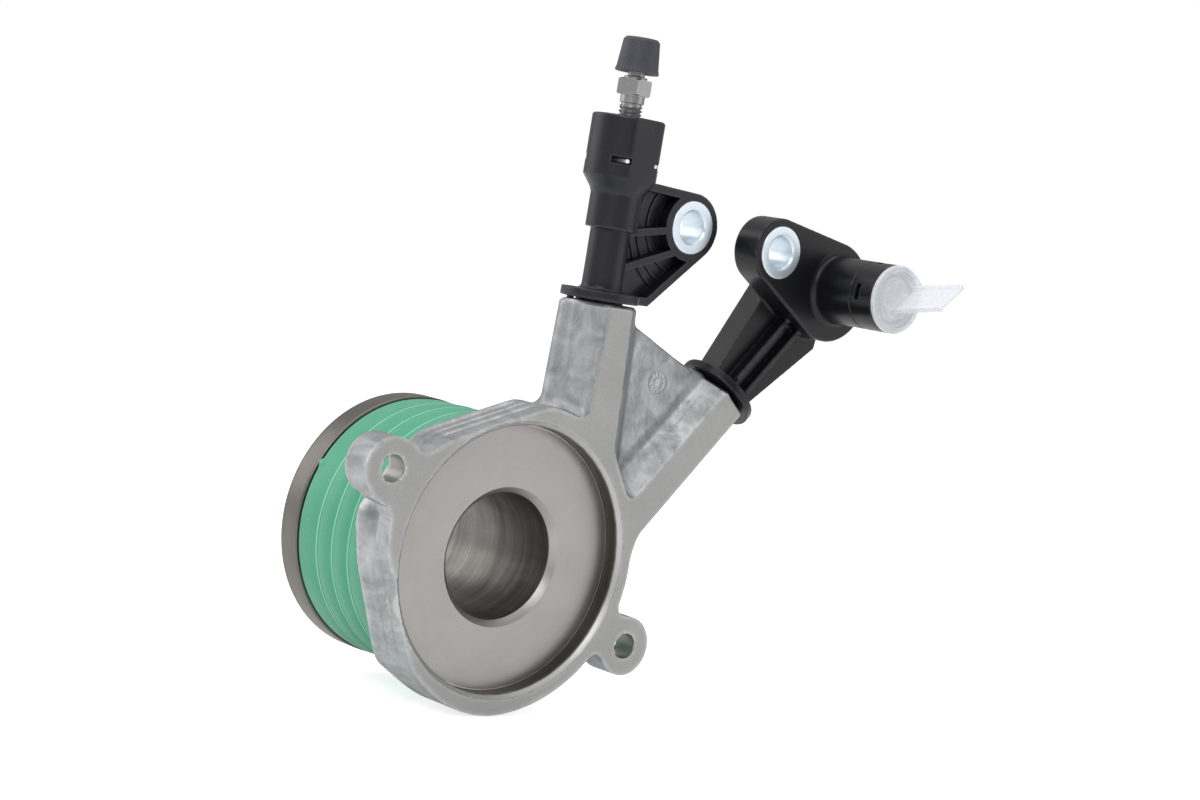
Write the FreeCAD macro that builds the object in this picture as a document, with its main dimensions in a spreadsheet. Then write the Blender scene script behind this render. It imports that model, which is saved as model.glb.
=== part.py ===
import FreeCAD, Part
import math
import os
import re
import Sketcher

# Concentric clutch slave cylinder.
# Frame: millimetres, +Z up, origin where the cylinder axis crosses the machined
# gearbox face. The cylinder axis is Y, the gearbox is on the -Y side and the
# release bearing faces +Y. The bleed port points straight up.

Vector = FreeCAD.Vector
os.makedirs("parts", exist_ok=True)
doc = FreeCAD.newDocument("clutch_slave_cylinder")
sheet = doc.addObject("Spreadsheet::Sheet", "Sizes")

# Every size that can be set by itself, in millimetres or degrees.
SIZES = {
    # Cast housing
    "flange_wall": 4.23,
    "flange_depth": 14.5,
    "flange_flat_cut": 2.1,
    "flange_flat_angle": 19.8,
    "lug_reach": 8.0,
    "lug_angle": 26.6,
    "lug_wall": 4.55,
    "lug_depth": 9.6,
    "lug_hole_radius": 3.35,
    "lug_fillet": 5.0,
    "disc_gap": 0.45,
    "recess_chamfer": 1.24,
    "disc_depth": 5.2,
    "piston_width": 5.2,
    "barrel_wall": 3.9,
    "barrel_nose": 12.9,
    "collar_margin": 0.5,
    "collar_rim": 1.2,
    "boot_groove_depth": 1.0,
    "boot_groove_width": 1.6,
    "port_wall": 3.1,
    "bleed_offset": 21.6,
    "inlet_offset": 20.5,
    "inlet_angle": 40.6,
    "bleed_boss_top": 66.0,
    "bleed_boss_wall": 5.5,
    "bleed_boss_draft": 1.3,
    "bleed_boss_sink": 8.8,
    "boss_strip_width": 8.6,
    "boss_top_chamfer": 1.5,
    "inlet_boss_top": 77.3,
    "inlet_boss_wall": 2.6,
    "inlet_boss_sink": 16.8,
    "strip_flank_angle": 55.0,
    "web_thickness": 4.0,
    "web_bleed_drop": 3.2,
    "web_inlet_drop": 0.5,
    "web_inlet_reach": 12.2,
    "port_bore_radius": 6.3,
    "port_bore_length": 20.0,
    "passage_radius": 1.25,
    "pin_drop": 8.0,
    "pin_radius": 1.25,
    "pin_length": 10.0,
    "port_chamfer": 0.8,
    # Guide sleeve and its seals
    "sleeve_bore_radius": 16.5,
    "sleeve_wall": 2.0,
    "sleeve_chamfer": 1.63,
    "sleeve_tail": 4.0,
    "sleeve_root": 0.8,
    "sleeve_lead": 0.6,
    "edge_break": 0.4,
    "sleeve_disc_land": 4.12,
    "sleeve_disc_thickness": 1.8,
    "gasket_land": 3.3,
    "gasket_width": 3.0,
    "gasket_thickness": 0.6,
    "spigot_tail": 2.2,
    "stop_ring_thickness": 1.3,
    "stop_ring_groove": 0.8,
    "stop_ring_height": 2.4,
    # Piston, carrier and spring
    "slide_fit": 0.05,
    "seal_set": 6.9,
    "seal_length": 4.5,
    "seal_lip": 2.0,
    "carrier_lead": 12.6,
    "carrier_rim": 0.4,
    "boot_lip": 0.85,
    "piston_step": 0.7,
    "piston_skirt": 4.0,
    "carrier_pocket": 1.0,
    "spigot_clearance": 0.5,
    "spigot_wall": 2.4,
    "spigot_gap": 0.3,
    "spring_clearance": 1.3,
    "spring_wire_radius": 1.1,
    "spring_turns": 4.5,
    "spring_runs_per_turn": 16.0,
    # Dust boot
    "boot_foot": 2.65,
    "boot_wall": 1.5,
    "boot_crown": 0.5,
    "boot_bands": 4.0,
    "boot_ridge": 0.35,
    # Release bearing
    "outer_ring_wall": 4.66,
    "bearing_front_gap": 0.4,
    "outer_ring_extra": 0.2,
    "bearing_nose": 3.4,
    "nose_back": 3.0,
    "nose_clearance": 2.6,
    "ball_radius": 2.9,
    "inner_ring_wall": 5.15,
    "ball_count": 14.0,
    "ball_clearance": 0.05,
    "race_gap": 1.8,
    "ring_land": 1.6,
    "shield_thickness": 0.6,
    "cage_wall": 1.0,
    "cage_finger": 1.6,
    "cage_back": 1.0,
    "clip_thickness": 1.0,
    "clip_height": 1.2,
    # Adapters, shared
    "port_fit": 0.1,
    "spigot_end_gap": 0.5,
    "spigot_groove_depth": 1.35,
    "spigot_groove_width": 2.5,
    "spigot_seal_end": 4.0,
    "adapter_gap": 2.0,
    "adapter_collar_reach": 4.0,
    "adapter_collar_thickness": 2.4,
    "stem_wall": 3.75,
    "channel_radius": 1.5,
    "lug_plate_wall": 2.05,
    "lug_plate_depth": 8.9,
    "bushing_wall": 2.8,
    "bushing_hole_radius": 4.25,
    "bushing_proud": 0.25,
    "peg_radius": 0.9,
    "peg_reach": 2.3,
    "peg_depth": 1.2,
    # Bleed adapter
    "bleed_mid_step": 1.5,
    "bleed_stem_length": 20.4,
    "bleed_mid_length": 9.5,
    "bleed_cone_length": 3.8,
    "bleed_head_wall": 4.35,
    "bleed_head_length": 15.8,
    "bleed_head_chamfer": 0.7,
    "bleed_flat_cut": 1.15,
    "bleed_lug_reach": 27.5,
    "bleed_lug_rise": 24.4,
    "bleed_arm_set": 0.5,
    "bleed_arm_floor": 2.4,
    "bleed_pocket_depth": 3.7,
    "bleed_arm_slope": 43.0,
    "bleed_arm_wall": 2.2,
    "bleed_foot_reach": 16.5,
    "bleed_rib_width": 1.9,
    # Bleed insert, clip, screw and cap
    "insert_wall": 2.15,
    "insert_length": 15.8,
    "insert_recess": 0.9,
    "clip_rise": 5.2,
    "clip_inset": 0.4,
    "clip_wire_radius": 0.75,
    "clip_recess": 1.55,
    "clip_tuck": 1.8,
    "clip_window": 4.6,
    "screw_thread_radius": 3.0,
    "screw_rise": 2.7,
    "screw_proud": 5.7,
    "screw_hex_height": 4.1,
    "screw_hex_step": 2.0,
    "screw_neck_step": 0.8,
    "screw_bulb_step": 0.7,
    "screw_nose": 7.7,
    "cap_gap": 2.0,
    "cap_cover": 3.0,
    "cap_wall": 2.65,
    "cap_taper": 1.1,
    # Inlet adapter and transit plug
    "inlet_lug_back": 23.74,
    "inlet_lug_rise": 7.37,
    "inlet_plate_lead": 11.5,
    "inlet_plate_margin": 5.8,
    "inlet_rise": 46.2,
    "inlet_collar_extra": 1.0,
    "fan_thickness": 8.0,
    "fan_root_width": 14.0,
    "fan_tip_width": 26.0,
    "fan_shoulder": 11.5,
    "fan_rib_width": 1.3,
    "fan_rib_spacing": 5.4,
    "fan_rib_height": 3.2,
    "tube_wall": 2.2,
    "tube_length": 21.4,
    "tube_base_flare": 1.6,
    "socket_radius": 7.0,
    "socket_depth": 15.0,
    "socket_seal_radius": 1.0,
    "tube_window_place": 5.2,
    "tube_window_offset": 6.6,
    "tube_window_width": 1.6,
    "tube_window_height": 3.0,
    "plug_inset": 0.2,
    "plug_dish_depth": 0.4,
    "plug_disc_thickness": 1.2,
    "plug_stem_length": 9.0,
    "plug_wall": 1.0,
    "plug_blade_length": 23.0,
    "plug_blade_height": 6.4,
    "plug_blade_thickness": 1.2,
    "fit_gap": 0.05,
}
# Sizes that follow from others by a named wall, step or clearance.
LINKED = {
    "sleeve_radius": "sleeve_bore_radius + sleeve_wall",
    "chamber_radius": "sleeve_radius + piston_width",
    "barrel_radius": "chamber_radius + barrel_wall",
    "spring_radius": "barrel_radius + spring_clearance + spring_wire_radius",
    "collar_radius": "spring_radius + spring_wire_radius + collar_margin",
    "boot_radius": "collar_radius + boot_foot",
    "carrier_radius": "boot_radius - boot_lip",
    "gasket_radius": "chamber_radius + gasket_land",
    "sleeve_disc_radius": "gasket_radius + gasket_width + sleeve_disc_land",
    "recess_radius": "sleeve_disc_radius + disc_gap",
    "flange_radius": "recess_radius + flange_wall",
    "flange_flat": "flange_radius - flange_flat_cut",
    "lug_pitch_circle": "2 * (flange_radius + lug_reach)",
    "lug_radius": "lug_hole_radius + lug_wall",
    "spigot_inner_radius": "sleeve_radius + spigot_clearance",
    "spigot_outer_radius": "spigot_inner_radius + spigot_wall",
    "ball_pitch_radius": "spigot_outer_radius + fit_gap + inner_ring_wall + race_gap",
    "bearing_radius": "ball_pitch_radius + race_gap + outer_ring_wall",
    "bearing_web_radius": "spigot_outer_radius + nose_clearance",
    "bearing_nose_radius": "bearing_web_radius + nose_back",
    "collar_length": "boot_groove_width + 2 * collar_rim",
    "spring_start": "flange_depth + collar_length",
    "barrel_end": "spring_start + barrel_nose",
    "seal_front": "barrel_end - seal_set",
    "carrier_front": "barrel_end + carrier_lead",
    "carrier_back": "carrier_front + boot_groove_width + 2 * carrier_rim",
    "inner_ring_depth": "2 * ball_radius + ring_land",
    "bearing_depth": "inner_ring_depth + outer_ring_extra",
    "ring_back": "carrier_back + inner_ring_depth",
    "stop_ring_place": "ring_back + clip_thickness + spigot_tail",
    "sleeve_end": "stop_ring_place + sleeve_tail",
    "port_depth": "port_bore_radius + port_wall",
    "bleed_boss_width": "2 * (port_bore_radius + bleed_boss_wall)",
    "bleed_boss_root": "flange_radius - bleed_boss_sink",
    "inlet_boss_radius": "port_bore_radius + inlet_boss_wall",
    "inlet_boss_root": "flange_radius - inlet_boss_sink",
    "web_front": "port_depth - web_thickness / 2",
    "web_bleed_height": "bleed_boss_top - web_bleed_drop",
    "web_inlet_height": "inlet_boss_top - web_inlet_drop",
    "spigot_radius": "port_bore_radius - port_fit",
    "spigot_length": "port_bore_length - spigot_end_gap",
    "spigot_seal_drop": "spigot_length - spigot_seal_end",
    "adapter_collar_radius": "port_bore_radius + adapter_collar_reach",
    "inlet_collar_radius": "adapter_collar_radius + inlet_collar_extra",
    "stem_radius": "channel_radius + stem_wall",
    "peg_place": "port_bore_radius + peg_reach",
    "bushing_radius": "bushing_hole_radius + bushing_wall",
    "lug_plate_radius": "bushing_radius + lug_plate_wall",
    "bleed_mid_radius": "stem_radius + bleed_mid_step",
    "bleed_mid_start": "bleed_boss_top + bleed_stem_length",
    "bleed_cone_start": "bleed_mid_start + bleed_mid_length",
    "bleed_head_start": "bleed_cone_start + bleed_cone_length",
    "bleed_head_top": "bleed_head_start + bleed_head_length",
    "insert_radius": "screw_thread_radius + insert_wall",
    "bleed_head_radius": "insert_radius + bleed_head_wall",
    "bleed_head_flat": "bleed_head_radius - bleed_flat_cut",
    "insert_top": "bleed_head_top - insert_recess",
    "insert_bottom": "insert_top - insert_length",
    "clip_height_z": "insert_bottom + clip_rise",
    "clip_leg_offset": "insert_radius - clip_inset",
    "clip_reach": "bleed_head_flat - clip_recess",
    "clip_bend_place": "bleed_head_radius - clip_tuck",
    "screw_tip": "insert_bottom + screw_rise",
    "screw_hex_bottom": "bleed_head_top + screw_proud",
    "screw_hex_top": "screw_hex_bottom + screw_hex_height",
    "screw_hex_width": "2 * screw_thread_radius + screw_hex_step",
    "screw_neck_radius": "screw_thread_radius - screw_neck_step",
    "screw_bulb_radius": "screw_neck_radius + screw_bulb_step",
    "screw_top": "screw_hex_top + screw_nose",
    "cap_bottom": "screw_hex_top + cap_gap",
    "cap_top": "screw_top + cap_cover",
    "cap_bottom_radius": "screw_bulb_radius + cap_wall",
    "cap_top_radius": "cap_bottom_radius - cap_taper",
    "bleed_lug_x": "bleed_offset + bleed_lug_reach",
    "bleed_lug_z": "bleed_boss_top + bleed_lug_rise",
    "bleed_arm_front": "port_depth - bleed_arm_set",
    "bleed_arm_foot": "bleed_offset + bleed_foot_reach",
    "inlet_elbow": "inlet_boss_top + inlet_rise",
    "elbow_x": "inlet_offset * cos(inlet_angle) + inlet_elbow * sin(inlet_angle)",
    "elbow_z": "inlet_elbow * cos(inlet_angle) - inlet_offset * sin(inlet_angle)",
    "inlet_lug_x": "elbow_x - inlet_lug_back",
    "inlet_lug_z": "elbow_z + inlet_lug_rise",
    "inlet_plate_front": "port_depth - inlet_plate_lead",
    "fan_tip": "inlet_elbow - fan_shoulder",
    "tube_radius": "socket_radius + tube_wall",
    "inlet_plate_radius": "tube_radius + inlet_plate_margin",
    "tube_end": "inlet_plate_front - tube_length",
    "plug_disc_radius": "tube_radius - plug_inset",
}
for row, (alias, size) in enumerate(SIZES.items(), start=1):
    sheet.set("A%d" % row, alias)
    sheet.set("B%d" % row, str(size))
    sheet.setAlias("B%d" % row, alias)
doc.recompute()


def spelled(text):
    """The formula with each linked size written out by the sizes it follows."""
    names = r"\b(%s)\b" % "|".join(LINKED)
    while re.search(names, text):
        text = re.sub(names, lambda found: "(%s)" % LINKED[found.group(0)], text)
    return text


def number(text):
    """Value of a formula over the named sizes."""
    return float(sheet.evalExpression(spelled(text)))


def formula(text):
    """The same formula, written for an object outside the sheet."""
    names = "|".join(sorted(SIZES, key=len, reverse=True))
    return re.sub(r"\b(%s)\b" % names, r"Sizes.\1", spelled(text))


def bind(obj, **properties):
    """Bind properties to formulas over the named sizes."""
    for path, text in properties.items():
        obj.setExpression(path.replace("__", "."), formula(text))


def seat(obj, x="0", y="0", z="0"):
    """Bind the place of an object."""
    bind(obj, Placement__Base__x=x, Placement__Base__y=y, Placement__Base__z=z)


def along_y(obj):
    """Turn an object's own Z axis to +Y."""
    obj.Placement = FreeCAD.Placement(Vector(), FreeCAD.Rotation(Vector(1, 0, 0), -90))


def on_inlet(obj, x="0", y="0", z="0"):
    """Place an object in the inlet port's frame: Z outward, X across, from the port's foot."""
    obj.Placement = FreeCAD.Placement(Vector(), FreeCAD.Rotation(Vector(0, 1, 0), 1))
    bind(obj, Placement__Rotation__Angle="inlet_angle * 1 deg")
    across = "(inlet_offset + (%s))" % x
    seat(obj,
         "%s * cos(inlet_angle) + (%s) * sin(inlet_angle)" % (across, z),
         "port_depth + (%s)" % y,
         "(%s) * cos(inlet_angle) - %s * sin(inlet_angle)" % (z, across))


def on_bleed(obj, x="0", y="0", z="0"):
    """Place an object in the bleed port's frame."""
    seat(obj, "bleed_offset + (%s)" % x, "port_depth + (%s)" % y, z)


def cylinder(name, radius, height, turned=False):
    obj = doc.addObject("Part::Cylinder", name)
    bind(obj, Radius=radius, Height=height)
    if turned:
        along_y(obj)
    return obj


def cone(name, radius1, radius2, height, turned=False):
    obj = doc.addObject("Part::Cone", name)
    bind(obj, Radius1=radius1, Radius2=radius2, Height=height)
    if turned:
        along_y(obj)
    return obj


def box(name, length, width, height):
    obj = doc.addObject("Part::Box", name)
    bind(obj, Length=length, Width=width, Height=height)
    return obj


def fuse(name, pieces):
    obj = doc.addObject("Part::MultiFuse", name)
    obj.Shapes = pieces
    obj.Refine = True
    return obj


def cut(name, base, tools):
    tool = tools[0]
    if len(tools) > 1:
        tool = doc.addObject("Part::MultiFuse", name + "_tools")
        tool.Shapes = tools
    obj = doc.addObject("Part::Cut", name)
    obj.Base = base
    obj.Tool = tool
    obj.Refine = True
    return obj


def origin_plane(body, role):
    for feature in body.Origin.OriginFeatures:
        if feature.Role == role:
            return feature
    raise ValueError(role)


def outline(body, role, corners, offset="0"):
    """Closed sketch of straight lines; each corner is a pair of formulas."""
    sketch = body.newObject("Sketcher::SketchObject", body.Name + "_outline")
    sketch.AttachmentSupport = [(origin_plane(body, role), "")]
    sketch.MapMode = "FlatFace"
    bind(sketch, AttachmentOffset__Base__z=offset)
    spots = [Vector(number(x), number(y), 0) for x, y in corners]
    count = len(spots)
    for i in range(count):
        sketch.addGeometry(Part.LineSegment(spots[i], spots[(i + 1) % count]), False)
    for i in range(count):
        sketch.addConstraint(Sketcher.Constraint("Coincident", i, 2, (i + 1) % count, 1))
    for i, (x, y) in enumerate(corners):
        for kind, text, size in (("DistanceX", x, spots[i].x), ("DistanceY", y, spots[i].y)):
            index = sketch.addConstraint(Sketcher.Constraint(kind, -1, 1, i, 1, size))
            sketch.setExpression("Constraints[%d]" % index, formula(text))
    return sketch


def turned_part(name, corners, upright=False):
    """Body turned about Y (corners are radius, depth) or about its own Z when upright."""
    body = doc.addObject("PartDesign::Body", name)
    sketch = outline(body, "XZ_Plane" if upright else "XY_Plane", corners)
    turn = body.newObject("PartDesign::Revolution", name + "_turned")
    turn.Profile = sketch
    turn.ReferenceAxis = (sketch, ["V_Axis"])
    turn.Angle = 360
    body.Tip = turn
    return body


def plate(name, corners, front, depth):
    """Body of an XZ outline, from the plane y = front backwards to +Y."""
    body = doc.addObject("PartDesign::Body", name)
    sketch = outline(body, "XZ_Plane", corners)
    pad = body.newObject("PartDesign::Pad", name + "_pad")
    pad.Profile = sketch
    pad.Reversed = True
    bind(pad, Length=depth)
    body.Tip = pad
    seat(body, "0", front, "0")
    return body


# Cast housing: flange with two lugs, barrel, two port bosses and the web between them.
flange = cylinder("flange", "flange_radius", "flange_depth", turned=True)
flat = box("flange_flat_block", "2 * flange_radius", "flange_depth", "flange_radius")
flat.Placement = FreeCAD.Placement(Vector(), FreeCAD.Rotation(Vector(0, -1, 0), 1))
bind(flat, Placement__Rotation__Angle="flange_flat_angle * 1 deg")
seat(flat,
     "-flange_flat * sin(flange_flat_angle) - flange_radius * cos(flange_flat_angle)",
     "0",
     "flange_flat * cos(flange_flat_angle) - flange_radius * sin(flange_flat_angle)")
flange = cut("flange_trimmed", flange, [flat])


def lug(name, turn):
    """Bolt lug on +X, blended into the flange by two hollow arcs, then turned."""
    body = doc.addObject("PartDesign::Body", name)
    sketch = body.newObject("Sketcher::SketchObject", name + "_outline")
    sketch.AttachmentSupport = [(origin_plane(body, "XZ_Plane"), "")]
    sketch.MapMode = "FlatFace"
    reach = "(lug_pitch_circle / 2)"
    blend_x = ("((flange_radius + lug_fillet)^2 - (lug_radius + lug_fillet)^2 + %s^2) / (2 * %s)"
               % (reach, reach))
    blend_z = "sqrt((flange_radius + lug_fillet)^2 - (%s)^2)" % blend_x
    centre = Vector(number(reach), 0, 0)
    blend = Vector(number(blend_x), number(blend_z), 0)
    size, hollow = number("lug_radius"), number("lug_fillet")
    side = math.atan2(blend.y, blend.x - centre.x)
    inward = math.atan2(-blend.y, -blend.x)
    outer = sketch.addGeometry(Part.ArcOfCircle(
        Part.Circle(centre, Vector(0, 0, 1), size), -side, side), False)
    upper = sketch.addGeometry(Part.ArcOfCircle(
        Part.Circle(blend, Vector(0, 0, 1), hollow), inward + 2 * math.pi, side + math.pi), False)
    below = Vector(blend.x, -blend.y, 0)
    lower = sketch.addGeometry(Part.ArcOfCircle(
        Part.Circle(below, Vector(0, 0, 1), hollow), math.pi - side, -inward), False)
    close = sketch.addGeometry(Part.LineSegment(
        sketch.Geometry[upper].StartPoint, sketch.Geometry[lower].EndPoint), False)
    sketch.addConstraint(Sketcher.Constraint("Tangent", outer, 2, upper, 2))
    sketch.addConstraint(Sketcher.Constraint("Tangent", outer, 1, lower, 1))
    sketch.addConstraint(Sketcher.Constraint("Coincident", upper, 1, close, 1))
    sketch.addConstraint(Sketcher.Constraint("Coincident", lower, 2, close, 2))
    for kind, text in (("DistanceX", reach), ("DistanceY", "0")):
        made = sketch.addConstraint(Sketcher.Constraint(kind, -1, 1, outer, 3, number(text)))
        sketch.setExpression("Constraints[%d]" % made, formula(text))
    for index, radius in ((outer, "lug_radius"), (upper, "lug_fillet"), (lower, "lug_fillet")):
        made = sketch.addConstraint(Sketcher.Constraint("Radius", index, number(radius)))
        sketch.setExpression("Constraints[%d]" % made, formula(radius))
    foot = "(%s) * flange_radius / (flange_radius + lug_fillet)" % blend_x
    for index, end in ((upper, 1), (lower, 2)):
        made = sketch.addConstraint(
            Sketcher.Constraint("DistanceX", -1, 1, index, end, number(foot)))
        sketch.setExpression("Constraints[%d]" % made, formula(foot))
    pad = body.newObject("PartDesign::Pad", name + "_pad")
    pad.Profile = sketch
    pad.Reversed = True
    bind(pad, Length="lug_depth")
    body.Tip = pad
    body.Placement = FreeCAD.Placement(Vector(), FreeCAD.Rotation(Vector(0, 1, 0), 1))
    bind(body, Placement__Rotation__Angle="(%s) * 1 deg" % turn)
    return body


lugs = [lug("lower_lug", "lug_angle"), lug("upper_lug", "lug_angle + 180")]
barrel = cylinder("barrel", "barrel_radius", "barrel_end", turned=True)
collar = cylinder("boot_collar", "collar_radius", "flange_depth + collar_length", turned=True)


def boss_corners(width, inset="0"):
    """Octagon of the bleed boss about the port axis, with its strip in the gearbox face."""
    strip = "(boss_strip_width / 2 - %s / 2)" % inset
    half = "((%s) / 2 - %s)" % (width, inset)
    depth = "(port_depth - %s)" % inset
    side = "(%s - %s + %s)" % (depth, half, strip)
    return [(strip, "-" + depth), (half, "-" + side), (half, side), (strip, depth),
            ("-" + strip, depth), ("-" + half, side), ("-" + half, "-" + side),
            ("-" + strip, "-" + depth)]


bleed_boss = doc.addObject("PartDesign::Body", "bleed_boss")
root = outline(bleed_boss, "XY_Plane", boss_corners("bleed_boss_width + 2 * bleed_boss_draft"),
               "bleed_boss_root")
shoulder = outline(bleed_boss, "XY_Plane", boss_corners("bleed_boss_width"),
                   "bleed_boss_top - boss_top_chamfer")
crown = outline(bleed_boss, "XY_Plane", boss_corners("bleed_boss_width", "boss_top_chamfer"),
                "bleed_boss_top")
boss_loft = bleed_boss.newObject("PartDesign::AdditiveLoft", "bleed_boss_loft")
boss_loft.Profile = root
boss_loft.Sections = [shoulder, crown]
boss_loft.Ruled = True
bleed_boss.Tip = boss_loft
on_bleed(bleed_boss)

inlet_round = cylinder("inlet_boss_round", "inlet_boss_radius", "inlet_boss_top - inlet_boss_root")
on_inlet(inlet_round, z="inlet_boss_root")
inlet_strip = doc.addObject("PartDesign::Body", "inlet_boss_strip")
flank_x = "inlet_boss_radius * sin(strip_flank_angle)"
flank_y = "-inlet_boss_radius * cos(strip_flank_angle)"
strip_sketch = outline(inlet_strip, "XY_Plane", [
    ("boss_strip_width / 2", "-port_depth"), (flank_x, flank_y),
    ("-" + flank_x, flank_y), ("-boss_strip_width / 2", "-port_depth")])
strip_pad = inlet_strip.newObject("PartDesign::Pad", "inlet_boss_strip_pad")
strip_pad.Profile = strip_sketch
bind(strip_pad, Length="inlet_boss_top - inlet_boss_root")
inlet_strip.Tip = strip_pad
on_inlet(inlet_strip, z="inlet_boss_root")


def inlet_x(across, along):
    return "((%s) * cos(inlet_angle) + (%s) * sin(inlet_angle))" % (across, along)


def inlet_z(across, along):
    return "((%s) * cos(inlet_angle) - (%s) * sin(inlet_angle))" % (along, across)


def inlet_spot(across, along):
    """Corner in the XZ plane from a distance across and along the inlet port."""
    return inlet_x(across, along), inlet_z(across, along)


web = plate("port_web", [
    ("bleed_offset", "bleed_boss_root"),
    inlet_spot("inlet_offset", "bleed_boss_root"),
    inlet_spot("inlet_offset", "web_inlet_height"),
    inlet_spot("inlet_offset - web_inlet_reach", "web_inlet_height"),
    ("bleed_offset + bleed_boss_width / 2 - 1", "web_bleed_height"),
    ("bleed_offset", "web_bleed_height")], "web_front", "web_thickness")
casting = fuse("housing_casting", [flange, barrel, collar, bleed_boss, inlet_round,
                                   inlet_strip, web] + lugs)

seat_depth = "(disc_depth + sleeve_disc_thickness)"
recess = cylinder("recess", "recess_radius", seat_depth, turned=True)
mouth = cone("recess_mouth", "recess_radius + recess_chamfer", "recess_radius", "recess_chamfer",
             turned=True)
chamber = cylinder("chamber", "chamber_radius", "barrel_end", turned=True)
gasket_groove = turned_part("gasket_groove", [
    ("gasket_radius", "0"), ("gasket_radius + gasket_width", "0"),
    ("gasket_radius + gasket_width", seat_depth + " + gasket_thickness"),
    ("gasket_radius", seat_depth + " + gasket_thickness")])
boot_groove_start = "(flange_depth + collar_rim)"
boot_groove = turned_part("boot_groove", [
    ("collar_radius - boot_groove_depth", boot_groove_start),
    ("collar_radius + 1", boot_groove_start),
    ("collar_radius + 1", boot_groove_start + " + boot_groove_width"),
    ("collar_radius - boot_groove_depth", boot_groove_start + " + boot_groove_width")])
boot_room = turned_part("boot_room", [
    ("collar_radius", "flange_depth"), ("boot_radius + 3 * boot_crown", "flange_depth"),
    ("boot_radius + 3 * boot_crown", "flange_depth + 2 * collar_length"),
    ("collar_radius", "flange_depth + 2 * collar_length")])
bore_cuts = [recess, mouth, chamber, gasket_groove, boot_groove, boot_room]
for side in (-1, 1):
    hole = cylinder("lug_hole_%s" % ("upper" if side < 0 else "lower"), "lug_hole_radius",
                    "flange_depth", turned=True)
    seat(hole, "%d * lug_pitch_circle / 2 * cos(lug_angle)" % side, "0",
         "%d * lug_pitch_circle / 2 * sin(lug_angle)" % -side)
    bore_cuts.append(hole)
for port, place, top in (("bleed", on_bleed, "bleed_boss_top"), ("inlet", on_inlet, "inlet_boss_top")):
    bore = cylinder(port + "_port_bore", "port_bore_radius", "port_bore_length")
    place(bore, z="%s - port_bore_length" % top)
    lead = cone(port + "_port_lead", "port_bore_radius", "port_bore_radius + port_chamfer",
                "port_chamfer")
    place(lead, z="%s - port_chamfer" % top)
    passage = cylinder(port + "_passage", "passage_radius", "%s - port_bore_length" % top)
    place(passage, z="barrel_radius / 8")
    pin_hole = cylinder(port + "_pin_hole", "pin_radius", "pin_length + port_depth", turned=True)
    holder = doc.addObject("Part::Compound", port + "_pin_hole_place")
    holder.Links = [pin_hole]
    place(holder, x="-spigot_radius", y="port_depth * 0.64 - pin_length",
          z="%s - pin_drop" % top)
    bore_cuts += [bore, lead, passage, holder]
peg_hole = cylinder("peg_hole", "peg_radius + 0.15", "peg_depth + boss_top_chamfer")
on_bleed(peg_hole, x="-peg_place", y="peg_place / 6", z="bleed_boss_top - peg_depth - 0.3")
housing = cut("housing", casting, bore_cuts + [peg_hole])

# Guide sleeve: drawn steel tube with the disc that closes the pressure chamber.
guide_sleeve = turned_part("guide_sleeve", [
    ("sleeve_bore_radius + sleeve_chamfer", "disc_depth"),
    ("sleeve_disc_radius - edge_break", "disc_depth"),
    ("sleeve_disc_radius", "disc_depth + edge_break"),
    ("sleeve_disc_radius", seat_depth),
    ("sleeve_radius + sleeve_root", seat_depth),
    ("sleeve_radius", seat_depth + " + sleeve_root"),
    ("sleeve_radius", "stop_ring_place"),
    ("sleeve_radius - stop_ring_groove", "stop_ring_place"),
    ("sleeve_radius - stop_ring_groove", "stop_ring_place + stop_ring_thickness + fit_gap"),
    ("sleeve_radius", "stop_ring_place + stop_ring_thickness + fit_gap"),
    ("sleeve_radius", "sleeve_end - sleeve_lead"),
    ("sleeve_radius - sleeve_lead", "sleeve_end"),
    ("sleeve_bore_radius + edge_break", "sleeve_end"),
    ("sleeve_bore_radius", "sleeve_end - edge_break"),
    ("sleeve_bore_radius", "disc_depth + sleeve_chamfer")])

sleeve_gasket = turned_part("sleeve_gasket", [
    ("gasket_radius + fit_gap", seat_depth),
    ("gasket_radius + gasket_width - fit_gap", seat_depth),
    ("gasket_radius + gasket_width - fit_gap", seat_depth + " + gasket_thickness"),
    ("gasket_radius + fit_gap", seat_depth + " + gasket_thickness")])

stop_ring_form = turned_part("stop_ring_form", [
    ("sleeve_radius - stop_ring_groove + fit_gap", "stop_ring_place"),
    ("sleeve_radius - stop_ring_groove + stop_ring_height", "stop_ring_place"),
    ("sleeve_radius - stop_ring_groove + stop_ring_height",
     "stop_ring_place + stop_ring_thickness"),
    ("sleeve_radius - stop_ring_groove + fit_gap", "stop_ring_place + stop_ring_thickness")])


def ring_gap(name, width, height, radius, front, depth):
    """Block that opens a split ring at its top."""
    obj = box(name, width, depth, "4 * (%s)" % height)
    seat(obj, "-(%s) / 2" % width, front, radius)
    return obj


stop_ring = cut("stop_ring", stop_ring_form, [
    ring_gap("stop_ring_gap", "2 * stop_ring_height", "stop_ring_height", "sleeve_bore_radius",
             "stop_ring_place - 1", "stop_ring_thickness + 2")])

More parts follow.
